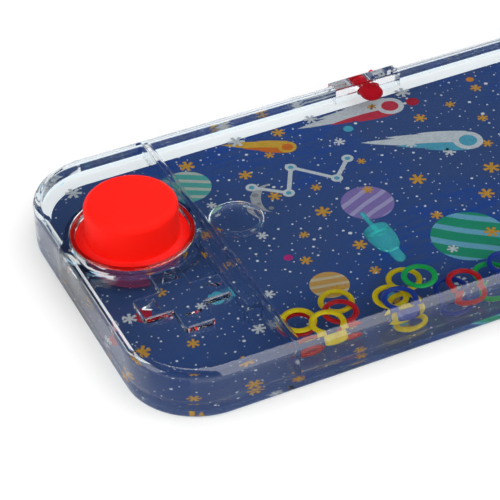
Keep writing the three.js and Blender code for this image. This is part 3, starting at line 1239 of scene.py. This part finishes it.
@dataclass
class Water:
    """The water that fills the case, with an air bubble, and stands low in the pump chambers.

    The bubble has the X and Y of its middle and a radius. Its belly bows by a share of its depth.
    """

    sizes: CaseSizes
    palette: Palette
    bubble: Point = (-57.0 * MM, 4.9 * MM, 6.8 * MM)
    bubble_depth: float = 3.4 * MM
    bubble_bow: float = 0.12
    bubble_over: float = 0.5 * MM
    bubble_steps: int = 64

    def build(self) -> list[Object]:
        """Builds the water as one solid that laps a hair into each wall it touches.

        Returns:
            The water.
        """
        s = self.sizes
        lap = s.lap
        low, high = s.bottom - lap, s.ceiling + lap
        pump_heights = (low, s.bottom + s.pump_water)
        (left, right), (near, far) = s.port
        through = (low - s.wall, high + s.wall)
        size = tuple(length + 2 * lap for length in s.hollow)
        water = rounded_slab(size, s.corner - s.wall + lap, (low, high), s.corner_steps)
        for hand in Hand:
            for wall in (s.well_disc(hand, s.well_outer - lap, through), *s.inner_walls(hand, lap, through)):
                water = combined(water, wall, Cut.TAKE)
            chamber = s.well_disc(hand, s.chamber + lap, pump_heights)
            port = sided(hand, (left - lap, right + lap), (near - lap, far + lap), pump_heights)
            for piece in (chamber, port, s.jet_hole(hand, lap, low)):
                water = combined(water, piece, Cut.JOIN)
        neck_near = (s.neck_low.x + lap, s.neck_low.y + lap, through[0])
        neck = box_solid(neck_near, (s.neck_high.x - lap, s.neck_high.y, through[1]))
        for piece in (neck, self._air(high)):
            water = combined(water, piece, Cut.TAKE)
        bmesh.ops.recalc_face_normals(water, faces=water.faces)
        piece = finished("tank_water", water, [self.palette.water], Shading.FLAT_WHERE_SQUARE, 50)
        return [placed(piece, CASE_BODY, "clear_plastic")]

    def _air(self, high: float) -> BMesh:
        """Makes the bubble: flat against the face, with a round belly and edge.

        Args:
            high: The Z of the water's top.

        Returns:
            The bubble as a solid.
        """
        x, y, radius = self.bubble
        depth = self.bubble_depth
        top = high + self.bubble_over
        edge = min(depth / 2, radius / 2)
        belly = arc((radius - edge, high - edge), edge, (-90, 60), 14)
        bow = self.bubble_bow * depth
        middle = [(radius * share, belly[0][1] - bow * (1 - share * share)) for share in (0.0, 0.25, 0.5)]
        profile = [*middle, *belly, (belly[-1][0], top), (0, top)]
        return moved(turned(profile, self.bubble_steps), (x, y, 0))


@dataclass
class Peg:
    """A clear teal peg: a cup on a stem with a pin in it, flattened to fit the tank."""

    hand: Hand
    palette: Palette
    stem: float = 1.4 * MM
    stem_length: float = 4.6 * MM
    cup: float = 3.3 * MM
    cup_length: float = 8.1 * MM
    mouth_wall: float = 0.7 * MM
    cup_depth: float = 2.4 * MM
    pin: float = 0.6 * MM
    side_shares: tuple[Pair, ...] = ((0.7, 0.12), (0.82, 0.22), (0.92, 0.38), (0.98, 0.56), (1.0, 0.75))
    inside_shares: tuple[Pair, ...] = ((0.9, 0.6), (0.6, 0.92))
    steps: int = 48

    def build(self) -> list[Object]:
        """Builds the peg where the frame has it.

        Returns:
            The peg.
        """
        node = f"{self.hand.word}_peg"
        low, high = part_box(node)
        bottom, top = self.stem_length, self.stem_length + self.cup_length
        stem_round = arc((0, self.stem), self.stem, (-90, 0), 8)
        stem = turned([*stem_round, (self.stem, bottom + self.stem), (0, bottom + self.stem)], 24)
        pin_round = arc((0, high.y - low.y - self.pin), self.pin, (0, 90), 6)
        base = top - 2 * self.cup_depth
        pin = turned([(0, base), (self.pin, base), *pin_round], 20)
        cup = self._cup(bottom, top)
        bmesh.ops.scale(cup, vec=(1, (high.z - low.z) / (2 * self.cup), 1), verts=cup.verts)
        solid = combined(combined(cup, stem, Cut.JOIN), pin, Cut.JOIN)
        moved(solid, ((low.x + high.x) / 2, low.y, (low.z + high.z) / 2), ALONG_Y)
        piece = finished(f"{node}_moulding", solid, [self.palette.teal])
        return [placed(piece, CASE_BODY, "teal_plastic", node)]

    def _cup(self, bottom: float, top: float) -> BMesh:
        """Makes the cup before it is flattened.

        Args:
            bottom: Where it starts along the peg.
            top: Where it ends.

        Returns:
            The cup.
        """
        mouth, half, depth = self.cup - self.mouth_wall, self.mouth_wall / 2, self.cup_depth
        outside = [(wide * self.cup, bottom + rise * self.cup_length) for wide, rise in self.side_shares]
        rim = arc((self.cup - half, top), half, (0, 180), 6)
        inside = [(wide * mouth, top - deep * depth) for wide, deep in self.inside_shares]
        profile = [(0, bottom), (self.stem, bottom), *outside, *rim, *inside, (0, top - depth)]
        return turned(profile, self.steps)


@dataclass
class LooseRing:
    """One round ring that floats in the tank."""

    node: str
    palette: Palette
    steps: int = 56
    tube_steps: int = 16

    def build(self) -> list[Object]:
        """Builds the ring where the frame has it.

        Returns:
            The ring.
        """
        low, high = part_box(self.node)
        tube = (high.z - low.z) / 2
        radius = (high.y - low.y) / 2 - tube
        section = arc((radius, 0), tube, (0, 360), self.tube_steps)[:-1]
        ring = moved(turned(section, self.steps, closed=True), (low + high) / 2)
        colour = self.node.split("_")[1]
        piece = finished(f"{self.node}_moulding", ring, [self.palette.rings[colour]], sharp=80)
        return [placed(piece, self.node, f"{colour}_ring", self.node)]


@dataclass
class Pump:
    """A round soft button in its bellows, held down by a clear ring.

    The fold's points are in millimetres: those of its foot from the dish's valley, those of its lip from the
    button's foot.
    """

    hand: Hand
    palette: Palette
    wall: float = 1.8 * MM
    edge: float = 2.0 * MM
    crown: float = 0.3 * MM
    side_bow: float = 0.12 * MM
    skin: float = 0.45 * MM
    ring_wall: float = 1.0 * MM
    ring_round: float = 0.1 * MM
    roll: float = 0.3 * MM
    valley: float = 12.5 * MM
    gap: float = 0.03 * MM
    crest: float = 0.1 * MM
    dip: float = 0.05 * MM
    fold_foot: tuple[Pair, ...] = ((-0.6, -0.2), (0.1, -0.35), (0.1, 0.06), (-0.5, 0.3))
    fold_lip: tuple[Pair, ...] = ((0.5, -0.25), (0.22, -0.05))
    dome_shares: tuple[float, ...] = (0.85, 0.65, 0.45, 0.2, 0)
    steps: int = 128

    def build(self) -> list[Object]:
        """Builds the ring, the dish, the fold and the button.

        Returns:
            The four pieces.
        """
        word = self.hand.word
        low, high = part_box(f"{word}_pump_button")
        self.place = Vector(((low.x + high.x) / 2, (low.y + high.y) / 2, 0))
        self.radius = (high.x - low.x) / 2
        self.foot, self.head = low.z, high.z
        self.bellows_low, self.bellows_high = (corner.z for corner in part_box(f"{word}_pump_bellows"))
        ring_low, ring_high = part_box(f"{word}_retaining_ring")
        self.ring_outer = (ring_high.x - ring_low.x) / 2
        self.ring_inner = self.ring_outer - self.ring_wall
        self.ring_heights = (ring_low.z, ring_high.z)
        button_body = f"{word}_button"
        ring = finished(f"{word}_clear_ring", self._ring(), [self.palette.clear], Shading.FLAT_WHERE_SQUARE)
        dish = finished(f"{word}_bellows_dish", self._dish(), [self.palette.bellows])
        fold = finished(f"{word}_bellows_fold", self._fold(), [self.palette.bellows])
        button = finished(f"{word}_soft_button", self._button(), [self.palette.rubber])
        placed(ring, CASE_BODY, "clear_plastic", f"{word}_retaining_ring")
        placed(dish, CASE_BODY, "soft_red", f"{word}_pump_bellows")
        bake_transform(fold)
        placed(button, button_body, "soft_red", f"{word}_pump_button")
        return [ring, dish, fold, button]

    def _about(self, profile: Profile, closed: bool = True) -> BMesh:
        """A solid turned about the pump's middle."""
        return moved(turned(profile, self.steps, closed), self.place)

    def _ring(self) -> BMesh:
        """Makes the clear ring, its upper edges rounded.

        Returns:
            The ring.
        """
        bottom, top = self.ring_heights
        edge = self.ring_round
        outer = arc((self.ring_outer - edge, top - edge), edge, (0, 90), 3)
        inner = arc((self.ring_inner + edge, top - edge), edge, (90, 180), 3)
        return self._about([(self.ring_outer, bottom), *outer, *inner, (self.ring_inner, bottom)])

    def _dish(self) -> BMesh:
        """Makes the flange under the ring and the shallow dish that starts inside it.

        Returns:
            The dish.
        """
        bottom, seat, gap = self.bellows_low, self.ring_heights[0], self.gap
        brim, inner = self.ring_inner - gap, self.valley - self.skin
        profile = [
            (self.ring_outer, bottom + gap),
            (self.ring_outer, seat - gap),
            (brim, seat - gap),
            *arc((brim - self.roll, seat + gap), self.roll, (0, 110), 8),
            (self.valley, seat + self.crest),
            (inner, seat - self.dip),
            (inner, seat - self.skin),
            (self.valley, bottom + gap),
        ]
        return self._about(profile)

    def _fold(self) -> BMesh:
        """Makes the thin fold that rises from the dish to the button's foot.

        Returns:
            The fold.
        """
        seat, top = self.ring_heights[0], self.bellows_high
        lip = self.radius - self.gap
        foot = [(self.valley + out * MM, seat + up * MM) for out, up in self.fold_foot]
        rise = [(lip + out * MM, top + up * MM) for out, up in self.fold_lip]
        return self._about([*foot, *rise, (lip, top), (lip, top - self.skin)])

    def _button(self) -> BMesh:
        """Makes the hollow button with its rounded rim and slightly domed top.

        Returns:
            The button.
        """
        shoulder, edge = self.head - self.crown, self.edge
        flat, inner = self.radius - edge, self.radius - self.wall
        profile = [
            (0, self.head - self.wall),
            (0.6 * inner, shoulder - 0.8 * self.wall),
            *arc((inner - edge / 2, shoulder - self.wall - edge / 2), edge / 2, (90, 0), 6),
            (inner, self.foot),
            (self.radius, self.foot),
            (self.radius - self.side_bow, (self.foot + shoulder - edge) / 2),
            *arc((flat - self.side_bow, shoulder - edge), edge, (0, 84), 14),
            *((flat * share, shoulder + self.crown * (1 - share * share)) for share in self.dome_shares),
        ]
        return self._about(profile, closed=False)


@dataclass
class FillerPlug:
    """The soft plug in the far wall, with its round tip, head and pull tab."""

    palette: Palette
    radius: float = 2.9 * MM
    tip_round: float = 2.8 * MM
    head: float = 3.4 * MM
    head_thickness: float = 1.4 * MM
    head_round: float = 0.45 * MM
    head_crown: float = 0.1 * MM
    tab_reach: Pair = (2.2 * MM, 5.6 * MM)
    tab_width: float = 1.3 * MM
    tab_inset: float = 0.2 * MM
    tab_round: float = 0.4 * MM
    tab_turn: float = 40

    def build(self) -> list[Object]:
        """Builds the plug along Y where the frame has it.

        Returns:
            The plug with its tab.
        """
        low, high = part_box("filler_plug")
        end, edge = high.y - low.y, self.head_round
        stop = end - self.head_thickness
        profile = [
            (0, 0),
            *arc((self.radius - self.tip_round, self.tip_round), self.tip_round, (-90, 0), 16),
            (self.radius, stop),
            (self.head - edge, stop),
            *arc((self.head - edge, end - edge), edge, (0, 90), 6),
            (0.5 * self.head, end - self.head_crown),
            (0, end),
        ]
        plug = moved(turned(profile, 64), (0, low.y, 0), ALONG_Y)
        near, far = high.y - self.head_thickness + self.tab_inset, high.y - self.tab_inset
        half = self.tab_width / 2
        tab = box_solid((self.tab_reach[0], near, -half), (self.tab_reach[1], far, half))
        bevelled(tab, lambda edge: all(vert.co.x > self.head for vert in edge.verts), self.tab_round, 5)
        moved(tab, turn=rotation(-self.tab_turn, "Y"))
        solid = moved(combined(plug, tab, Cut.JOIN), (low.x + self.head, 0, low.z + self.head))
        piece = finished("filler_plug_moulding", solid, [self.palette.plug])
        return [placed(piece, "plug", "plug_rubber", "filler_plug")]


# The colours of the card's flat inks.
INK_COLOURS: dict[str, Colour] = {
    "flame_yellow": (0.85, 0.5, 0.06),
    "flame_orange": (0.8, 0.2, 0.03),
    "frost": (0.8, 0.86, 0.9),
    "ice_blue": (0.12, 0.5, 0.68),
    "rose_stroke": (0.7, 0.05, 0.09),
    "moon_grey": (0.52, 0.54, 0.56),
    "moon_spot": (0.3, 0.32, 0.36),
    "cyan_dot": (0.09, 0.5, 0.68),
    "red_dot": (0.55, 0.02, 0.05),
    "pink_dot": (0.62, 0.03, 0.25),
    "orange_dot": (0.8, 0.3, 0.05),
    "yellow_star": (0.82, 0.42, 0.05),
    "white_star": (0.8, 0.84, 0.88),
}


@dataclass
class PrintedCard:
    """The card behind the plate, with a plain night sky of its own design.

    Its motifs are drawn in millimetres. A level counts the layers of print from the card up.
    """

    sizes: CaseSizes
    palette: Palette
    lap: float = 0.02 * MM
    layer: float = 0.006 * MM
    planet_level: int = 1
    dot_level: int = 2
    moon_level: int = 3
    comet_level: int = 3
    star_level: int = 5
    head_level: int = 9
    chain_level: int = 11
    chain_bar: float = 1.1
    star_count: int = 96
    star_tries: int = 40
    star_gap: float = 9.5
    inks: dict[str, Material] = field(default_factory=dict)
    shapes: list[BMesh] = field(default_factory=list)
    materials: list[Material] = field(default_factory=list)

    def build(self) -> list[Object]:
        """Builds the card and what is printed on it.

        Returns:
            The two pieces.
        """
        low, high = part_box("printed_card")
        size = (high.x - low.x, high.y - low.y)
        inset = self.sizes.plate_high.x - high.x
        self.top = high.z + self.lap
        card = rounded_slab(size, self.sizes.corner - inset, (low.z, self.top), self.sizes.corner_steps)
        card.normal_update()
        for face in card.faces:
            face.material_index = 0 if face.normal.z > 0.5 else 1
        sheet = finished("printed_card_sheet", card, [self.palette.sky, self.palette.edge], Shading.FLAT)
        placed(sheet, CASE_BODY, "card", "printed_card")
        return [sheet, self._print()]

    def _print(self) -> Object:
        """Builds all motifs as thin flat shapes, each a layer above the one before.

        Returns:
            The print.
        """
        self._planets()
        self._comets()
        self._constellation()
        self._moon()
        self._dots()
        self._stars()
        piece = finished("card_print", merged(self.shapes), self.materials, Shading.FLAT)
        return placed(piece, CASE_BODY, "card")

    def _ink(self, word: str) -> Material:
        """One of the print's flat inks, made once."""
        if word not in self.inks:
            self.inks[word] = Ink(f"{word}_ink", INK_COLOURS[word]).material()
        return self.inks[word]

    def _flat(self, bm: BMesh, centre: Sequence[float], ink: Material, level: int, turn: float = 0) -> None:
        """Lays one flat shape on the card.

        Args:
            bm: The shape in millimetres about the origin.
            centre: Its place on the card in millimetres.
            ink: Its ink.
            level: Its level of print.
            turn: Its turn in degrees.
        """
        if ink not in self.materials:
            self.materials.append(ink)
        place = (centre[0] * MM, centre[1] * MM, self.top + level * self.layer)
        moved(bm, place, rotation(turn, "Z") @ Matrix.Scale(MM, 4))
        bm.normal_update()
        for face in bm.faces:
            if face.normal.z < 0:
                face.normal_flip()
            face.material_index = self.materials.index(ink)
        self.shapes.append(bm)

    @staticmethod
    def _disc(radius: float, steps: int = 48, stretch: float = 1) -> BMesh:
        """Makes a flat disc, or an oval.

        Args:
            radius: Its radius in millimetres.
            steps: The number of its sides.
            stretch: Its width along Y for each unit along X.

        Returns:
            The disc.
        """
        bm = bmesh.new()
        bmesh.ops.create_circle(bm, cap_ends=True, segments=steps, radius=radius)
        bmesh.ops.scale(bm, vec=(1, stretch, 1), verts=bm.verts)
        return bm

    def _planets(self) -> None:
        """Draws banded planets."""
        planets = [
            ("mint", (-60, 27.5), 6.2, (0.11, 0.5, 0.46), (0.62, 0.68, 0.6), 28, 3.1),
            ("plum", (-24, 2), 6.4, (0.3, 0.22, 0.55), (0.5, 0.45, 0.74), -24, 3.4),
            ("leaf", (-9, -20), 9.0, (0.02, 0.36, 0.2), (0.2, 0.55, 0.75), 40, 5.4),
            ("sand", (-46, -21), 4.6, (0.75, 0.42, 0.12), (0.8, 0.66, 0.42), 12, 2.4),
            ("rose", (34, 24), 6.8, (0.6, 0.12, 0.25), (0.75, 0.42, 0.45), -35, 3.0),
            ("slate", (72, 4), 8.5, (0.26, 0.36, 0.5), (0.5, 0.58, 0.7), 20, 4.0),
            ("amber", (53, -27), 7.0, (0.72, 0.35, 0.04), (0.82, 0.6, 0.2), 60, 3.3),
        ]
        for number, (word, centre, radius, ground, band, turn, spacing) in enumerate(planets):
            ink = BandedInk(f"{word}_planet_ink", ground, band, turn, spacing * MM).material()
            self._flat(self._disc(radius), centre, ink, self.planet_level + number % 2)

    def _comets(self) -> None:
        """Draws comets: a round head and a tail of brushed strokes."""
        comets = [
            ((-31, 31), 150, ("flame_yellow", "flame_orange"), 0.75),
            ((10, 13), 155, ("frost", "ice_blue"), 1.2),
            ((0, 35), 176, ("frost", "rose_stroke"), 1.15),
            ((68, 33), 200, ("flame_yellow", "flame_orange"), 0.8),
        ]
        strokes = [(0.0, 22.0, 1.5), (1.5, 15.0, 1.0), (-1.6, 17.0, 1.1), (2.7, 9.0, 0.7), (-2.8, 10.5, 0.7)]
        for centre, turn, words, size in comets:
            inks = [self._ink(word) for word in words]
            for number, (shift, length, width) in enumerate(strokes):
                stroke = moved(self._stroke(length * size, width * size), (0, shift * size, 0))
                self._flat(stroke, centre, inks[number % 2], self.comet_level + number, turn)
            for number, radius in enumerate((3.1, 1.9)):
                self._flat(self._disc(radius * size), centre, inks[number], self.head_level + number)

    def _constellation(self) -> None:
        """Draws a chain of round white stars that bars join."""
        chain = [Vector(place) for place in ((-46, 20), (-39, 14), (-34, 23), (-26, 14), (-20, 20))]
        for number, (start, end) in enumerate(zip(chain, chain[1:])):
            way = end - start
            turn = math.degrees(math.atan2(way.y, way.x))
            bar = flat_sheet((way.length, self.chain_bar))
            self._flat(bar, (start + end) / 2, self._ink("frost"), self.chain_level + number % 2, turn)
        for star in chain:
            self._flat(self._disc(1.5, 32), star, self._ink("frost"), self.chain_level + 2)
            self._flat(self._disc(0.7, 24), star, self._ink("ice_blue"), self.chain_level + 3)

    @staticmethod
    def _stroke(length: float, width: float) -> BMesh:
        """Makes a brush stroke along +X that tapers to nothing.

        Args:
            length: Its length.
            width: Its greatest half width.

        Returns:
            The stroke.
        """
        bm = flat_sheet((1, 2), 8)
        for vert in bm.verts:
            along = vert.co.x + 0.5
            wide = math.sin(math.pi * min(1.0, 0.25 + 0.75 * along)) ** 0.7
            vert.co = Vector((along * length, vert.co.y * width * max(wide, 0.02), 0))
        return bm

    def _moon(self) -> None:
        """Draws a pale crescent with a few spots."""
        moon = self._disc(5.6, 64)
        for vert in moon.verts:
            if vert.co.x > 0:
                vert.co.x *= -0.55
        self._flat(moon, (-43, 14), self._ink("moon_grey"), self.moon_level, -25)
        for x, y, radius in ((-46.6, 16.9, 0.8), (-47.2, 13.4, 0.55), (-45.3, 10.6, 0.65)):
            self._flat(self._disc(radius, 24), (x, y), self._ink("moon_spot"), self.moon_level + 1)

    def _dots(self) -> None:
        """Draws round coloured dots scattered over the sky."""
        dots = [
            ("cyan", -71, -14, 1.9), ("red", -88, -12, 2.0), ("pink", -50, -8, 1.1), ("cyan", -14, 31, 1.3),
            ("red", 6, 34, 1.7), ("cyan", -36, -31, 2.0), ("orange", -92, 14, 1.2), ("pink", -20, 20, 1.3),
            ("cyan", 20, -8, 2.4), ("red", 30, 4, 1.5), ("pink", 44, 10, 1.2), ("cyan", 60, 20, 1.5),
            ("red", 84, -20, 2.0), ("orange", 24, 36, 1.1), ("cyan", 90, -4, 1.2), ("pink", 40, -36, 1.4),
            ("red", -62, 8, 1.2), ("cyan", -78, 37, 1.3), ("orange", -2, -36, 1.2), ("red", 14, -33, 1.4),
        ]
        for word, x, y, radius in dots:
            self._flat(self._disc(radius, 32, 0.96), (x, y), self._ink(f"{word}_dot"), self.dot_level)

    def _stars(self) -> None:
        """Draws six-armed stars in yellow and white, scattered by a seeded draw."""
        draw = random.Random(11)
        spots: list[Vector] = []
        for _ in range(self.star_count):
            for _ in range(self.star_tries):
                spot = Vector((draw.uniform(-93, 93), draw.uniform(-39, 39)))
                if all((spot - other).length > self.star_gap for other in spots):
                    break
            spots.append(spot)
            reach = draw.uniform(1.1, 2.1)
            ink = self._ink("yellow_star" if draw.random() < 0.62 else "white_star")
            turn = draw.uniform(0, 60)
            for arm in range(3):
                self._flat(self._arm(reach), spot, ink, self.star_level + arm, turn + 60 * arm)

    @staticmethod
    def _arm(reach: float) -> BMesh:
        """Makes a star's bar, which widens towards both ends.

        Args:
            reach: How far it reaches each way.

        Returns:
            The bar.
        """
        bm = flat_sheet((2, 2), 6)
        for vert in bm.verts:
            wide = 0.14 + 0.1 * abs(vert.co.x)
            vert.co = Vector((vert.co.x * reach, vert.co.y * wide * reach, 0))
        return bm


@dataclass
class Studio:
    """A white floor, soft lamps, a plain world, and the camera at the photograph's angle.

    Each lamp has its name, the direction from the object to it, its distance, its width and its height along
    the way to the sky, and how bright its face would look as a share of the lamp level, where 1 is white. An
    edge of a softbox that the plastic mirrors is the X, the Y or the Z of the direction to it.
    """

    eye: Point = (-205.5 * MM, -330.4 * MM, 292.2 * MM)
    forward: Point = (0.32307, 0.71400, -0.62115)
    right: Point = (0.90287, -0.42925, -0.02381)
    lens: float = 143.2
    floor_size: float = 12.0
    floor_gap: float = 0.02 * MM
    dark: float = 0.008
    softbox_level: float = 4.4
    softness: float = 0.025
    low_fade: Pair = (0.08, 0.34)
    above_top: float = 0.75
    above_far: float = 0.25
    above_left: float = 0.12
    above_low: float = 0.03
    left_right: float = -0.68
    left_span: Pair = (-0.2, 0.36)
    left_low: float = 0.15
    ambient: float = 0.4
    glow: float = 0.12
    # Painted light: the floor's extra glow on rays through the plastic, which lightens the shaded floor under
    # and beside the case.
    glow_through: float = 0.4
    lamp_level: float = 1.6
    lamp_table: tuple[tuple[str, Point, float, Pair, float], ...] = (
        ("overhead_lamp", (0.3, -0.2, 0.93), 1.4, (1.6, 2.4), 0.75),
        ("left_lamp", (-0.8, 0.05, 0.6), 1.4, (0.7, 0.9), 1.2),
        ("front_lamp", (-0.4, -0.8, 0.45), 1.6, (1.2, 0.9), 2.1),
    )

    def camera(self) -> None:
        """Makes the camera, and asks for the Standard view."""
        data = bpy.data.cameras.new("camera")
        data.lens, data.sensor_width = self.lens, 36
        data.clip_start, data.clip_end = 0.01, 50
        camera = linked("camera", data)
        forward, right = Vector(self.forward).normalized(), Vector(self.right)
        right = (right - forward * right.dot(forward)).normalized()
        axes = Matrix((right, right.cross(forward), -forward)).transposed()
        camera.matrix_world = Matrix.Translation(self.eye) @ axes.to_4x4()
        scene = bpy.context.scene
        scene.camera = camera
        scene.view_settings.view_transform = "Standard"
        scene.cycles.transparent_max_bounces = 32
        scene.cycles.transmission_bounces = 24
        scene.cycles.glossy_bounces = 8
        scene.cycles.max_bounces = 28

    def floor(self) -> None:
        """Makes the white floor, which keeps the object's shadow; where it is seen through the plastic, a
        painted glow lightens that shadow.
        """
        bm = moved(flat_sheet((self.floor_size, self.floor_size)), (0, 0, -self.floor_gap))
        material, nodes = Nodes.of_material("white_floor")
        path = nodes.add("LightPath").outputs
        seen = nodes.maths("ADD", path["Is Camera Ray"], path["Is Glossy Ray"])
        # Painted light: a glow on rays through the plastic lightens the shaded floor seen through the case.
        through = nodes.maths("MULTIPLY", path["Is Transmission Ray"], self.glow_through)
        diffuse = nodes.out("BsdfDiffuse", {"Color": (0.9, 0.9, 0.9, 1)})
        strength = nodes.maths("ADD", nodes.maths("MULTIPLY", seen, self.glow), through)
        glow = nodes.out("Emission", {"Color": WHITE, "Strength": strength})
        nodes.output(nodes.out("AddShader", {0: diffuse, 1: glow}))
        finished("floor", bm, [material], Shading.FLAT)

    def world(self) -> None:
        """Makes the world: plain white to the eye, and a dark room with softboxes in the plastic."""
        world = bpy.data.worlds.new("studio")
        world.use_nodes = True
        world.node_tree.nodes.clear()
        nodes = Nodes(world.node_tree)
        path = nodes.add("LightPath").outputs
        bent = nodes.maths("MAXIMUM", path["Is Glossy Ray"], path["Is Transmission Ray"])
        cap = nodes.ranged(path["Is Transmission Ray"], self.softbox_level, 1.0)
        strength = nodes.maths("MINIMUM", self._mirrored(nodes), cap)
        mirrored = nodes.out("Background", {"Strength": strength})
        seen = nodes.out("Background", {"Color": WHITE, "Strength": 1.0})
        ambient = nodes.out("Background", {"Color": WHITE, "Strength": self.ambient})
        mixed = nodes.out("MixShader", {0: bent, 1: ambient, 2: mirrored})
        mixed = nodes.out("MixShader", {0: path["Is Camera Ray"], 1: mixed, 2: seen})
        nodes.add("OutputWorld", {"Surface": mixed})
        bpy.context.scene.world = world

    def _mirrored(self, nodes: Nodes) -> NodeSocket:
        """Makes the room's light by direction: white low down, a long softbox above and one on the left.

        Args:
            nodes: The world's nodes.

        Returns:
            The brightness.
        """
        axes = nodes.add("SeparateXYZ", {0: nodes.add("TexCoord").outputs["Generated"]}).outputs

        def past(axis: str, edge: float) -> NodeSocket:
            """Rises from 0 to 1 across an edge."""
            return nodes.ranged(axes[axis], 0, 1, (edge - self.softness, edge + self.softness))

        def short_of(axis: str, edge: float) -> NodeSocket:
            """Falls from 1 to 0 across an edge."""
            return nodes.ranged(axes[axis], 1, 0, (edge - self.softness, edge + self.softness))

        low = nodes.ranged(axes["Z"], 1.0, self.dark, self.low_fade)
        above = nodes.maths("MAXIMUM", past("Z", self.above_top), short_of("Y", self.above_far))
        for edge in (past("X", self.above_left), past("Z", self.above_low)):
            above = nodes.maths("MULTIPLY", above, edge)
        left = short_of("X", self.left_right)
        near, far = self.left_span
        for edge in (past("Y", near), short_of("Y", far), past("Z", self.left_low)):
            left = nodes.maths("MULTIPLY", left, edge)
        boxes = nodes.maths("MULTIPLY", nodes.maths("MAXIMUM", above, left), self.softbox_level)
        return nodes.maths("MAXIMUM", low, boxes)

    def lamps(self) -> None:
        """Makes lamps that light the matt pieces and the floor; what the plastic mirrors is in the world."""
        for name, way, distance, size, share in self.lamp_table:
            data = bpy.data.lights.new(name, "AREA")
            data.shape = "RECTANGLE"
            data.size, data.size_y = size
            data.energy = share * self.lamp_level * math.pi * size[0] * size[1]
            lamp = linked(name, data)
            way = Vector(way).normalized()
            right = Vector((0, 1, 0)).cross(way).normalized()
            axes = Matrix((right, way.cross(right), way)).transposed()
            lamp.matrix_world = Matrix.Translation(way * distance) @ axes.to_4x4()
            lamp.visible_glossy = lamp.visible_transmission = False

    def build(self) -> None:
        """Makes the camera, the floor, the world and the lamps."""
        self.camera()
        self.floor()
        self.world()
        self.lamps()


def main() -> None:
    """Builds the studio and every piece of the game."""
    logging.basicConfig(level=logging.INFO, format="%(name)s: %(message)s")
    Studio().build()
    sizes = CaseSizes()
    palette = Palette.made()
    parts = [part(sizes, palette) for part in (ClearCase, Water, PrintedCard)]
    parts.append(FillerPlug(palette))
    for hand in Hand:
        parts += [Pump(hand, palette), Peg(hand, palette)]
    parts += [LooseRing(node, palette) for node in sorted(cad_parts) if node.startswith("ring_")]
    made = [piece for part in parts for piece in part.build()]
    LOG.info("%d pieces", len(made))


if __name__ == "__main__":
    main()
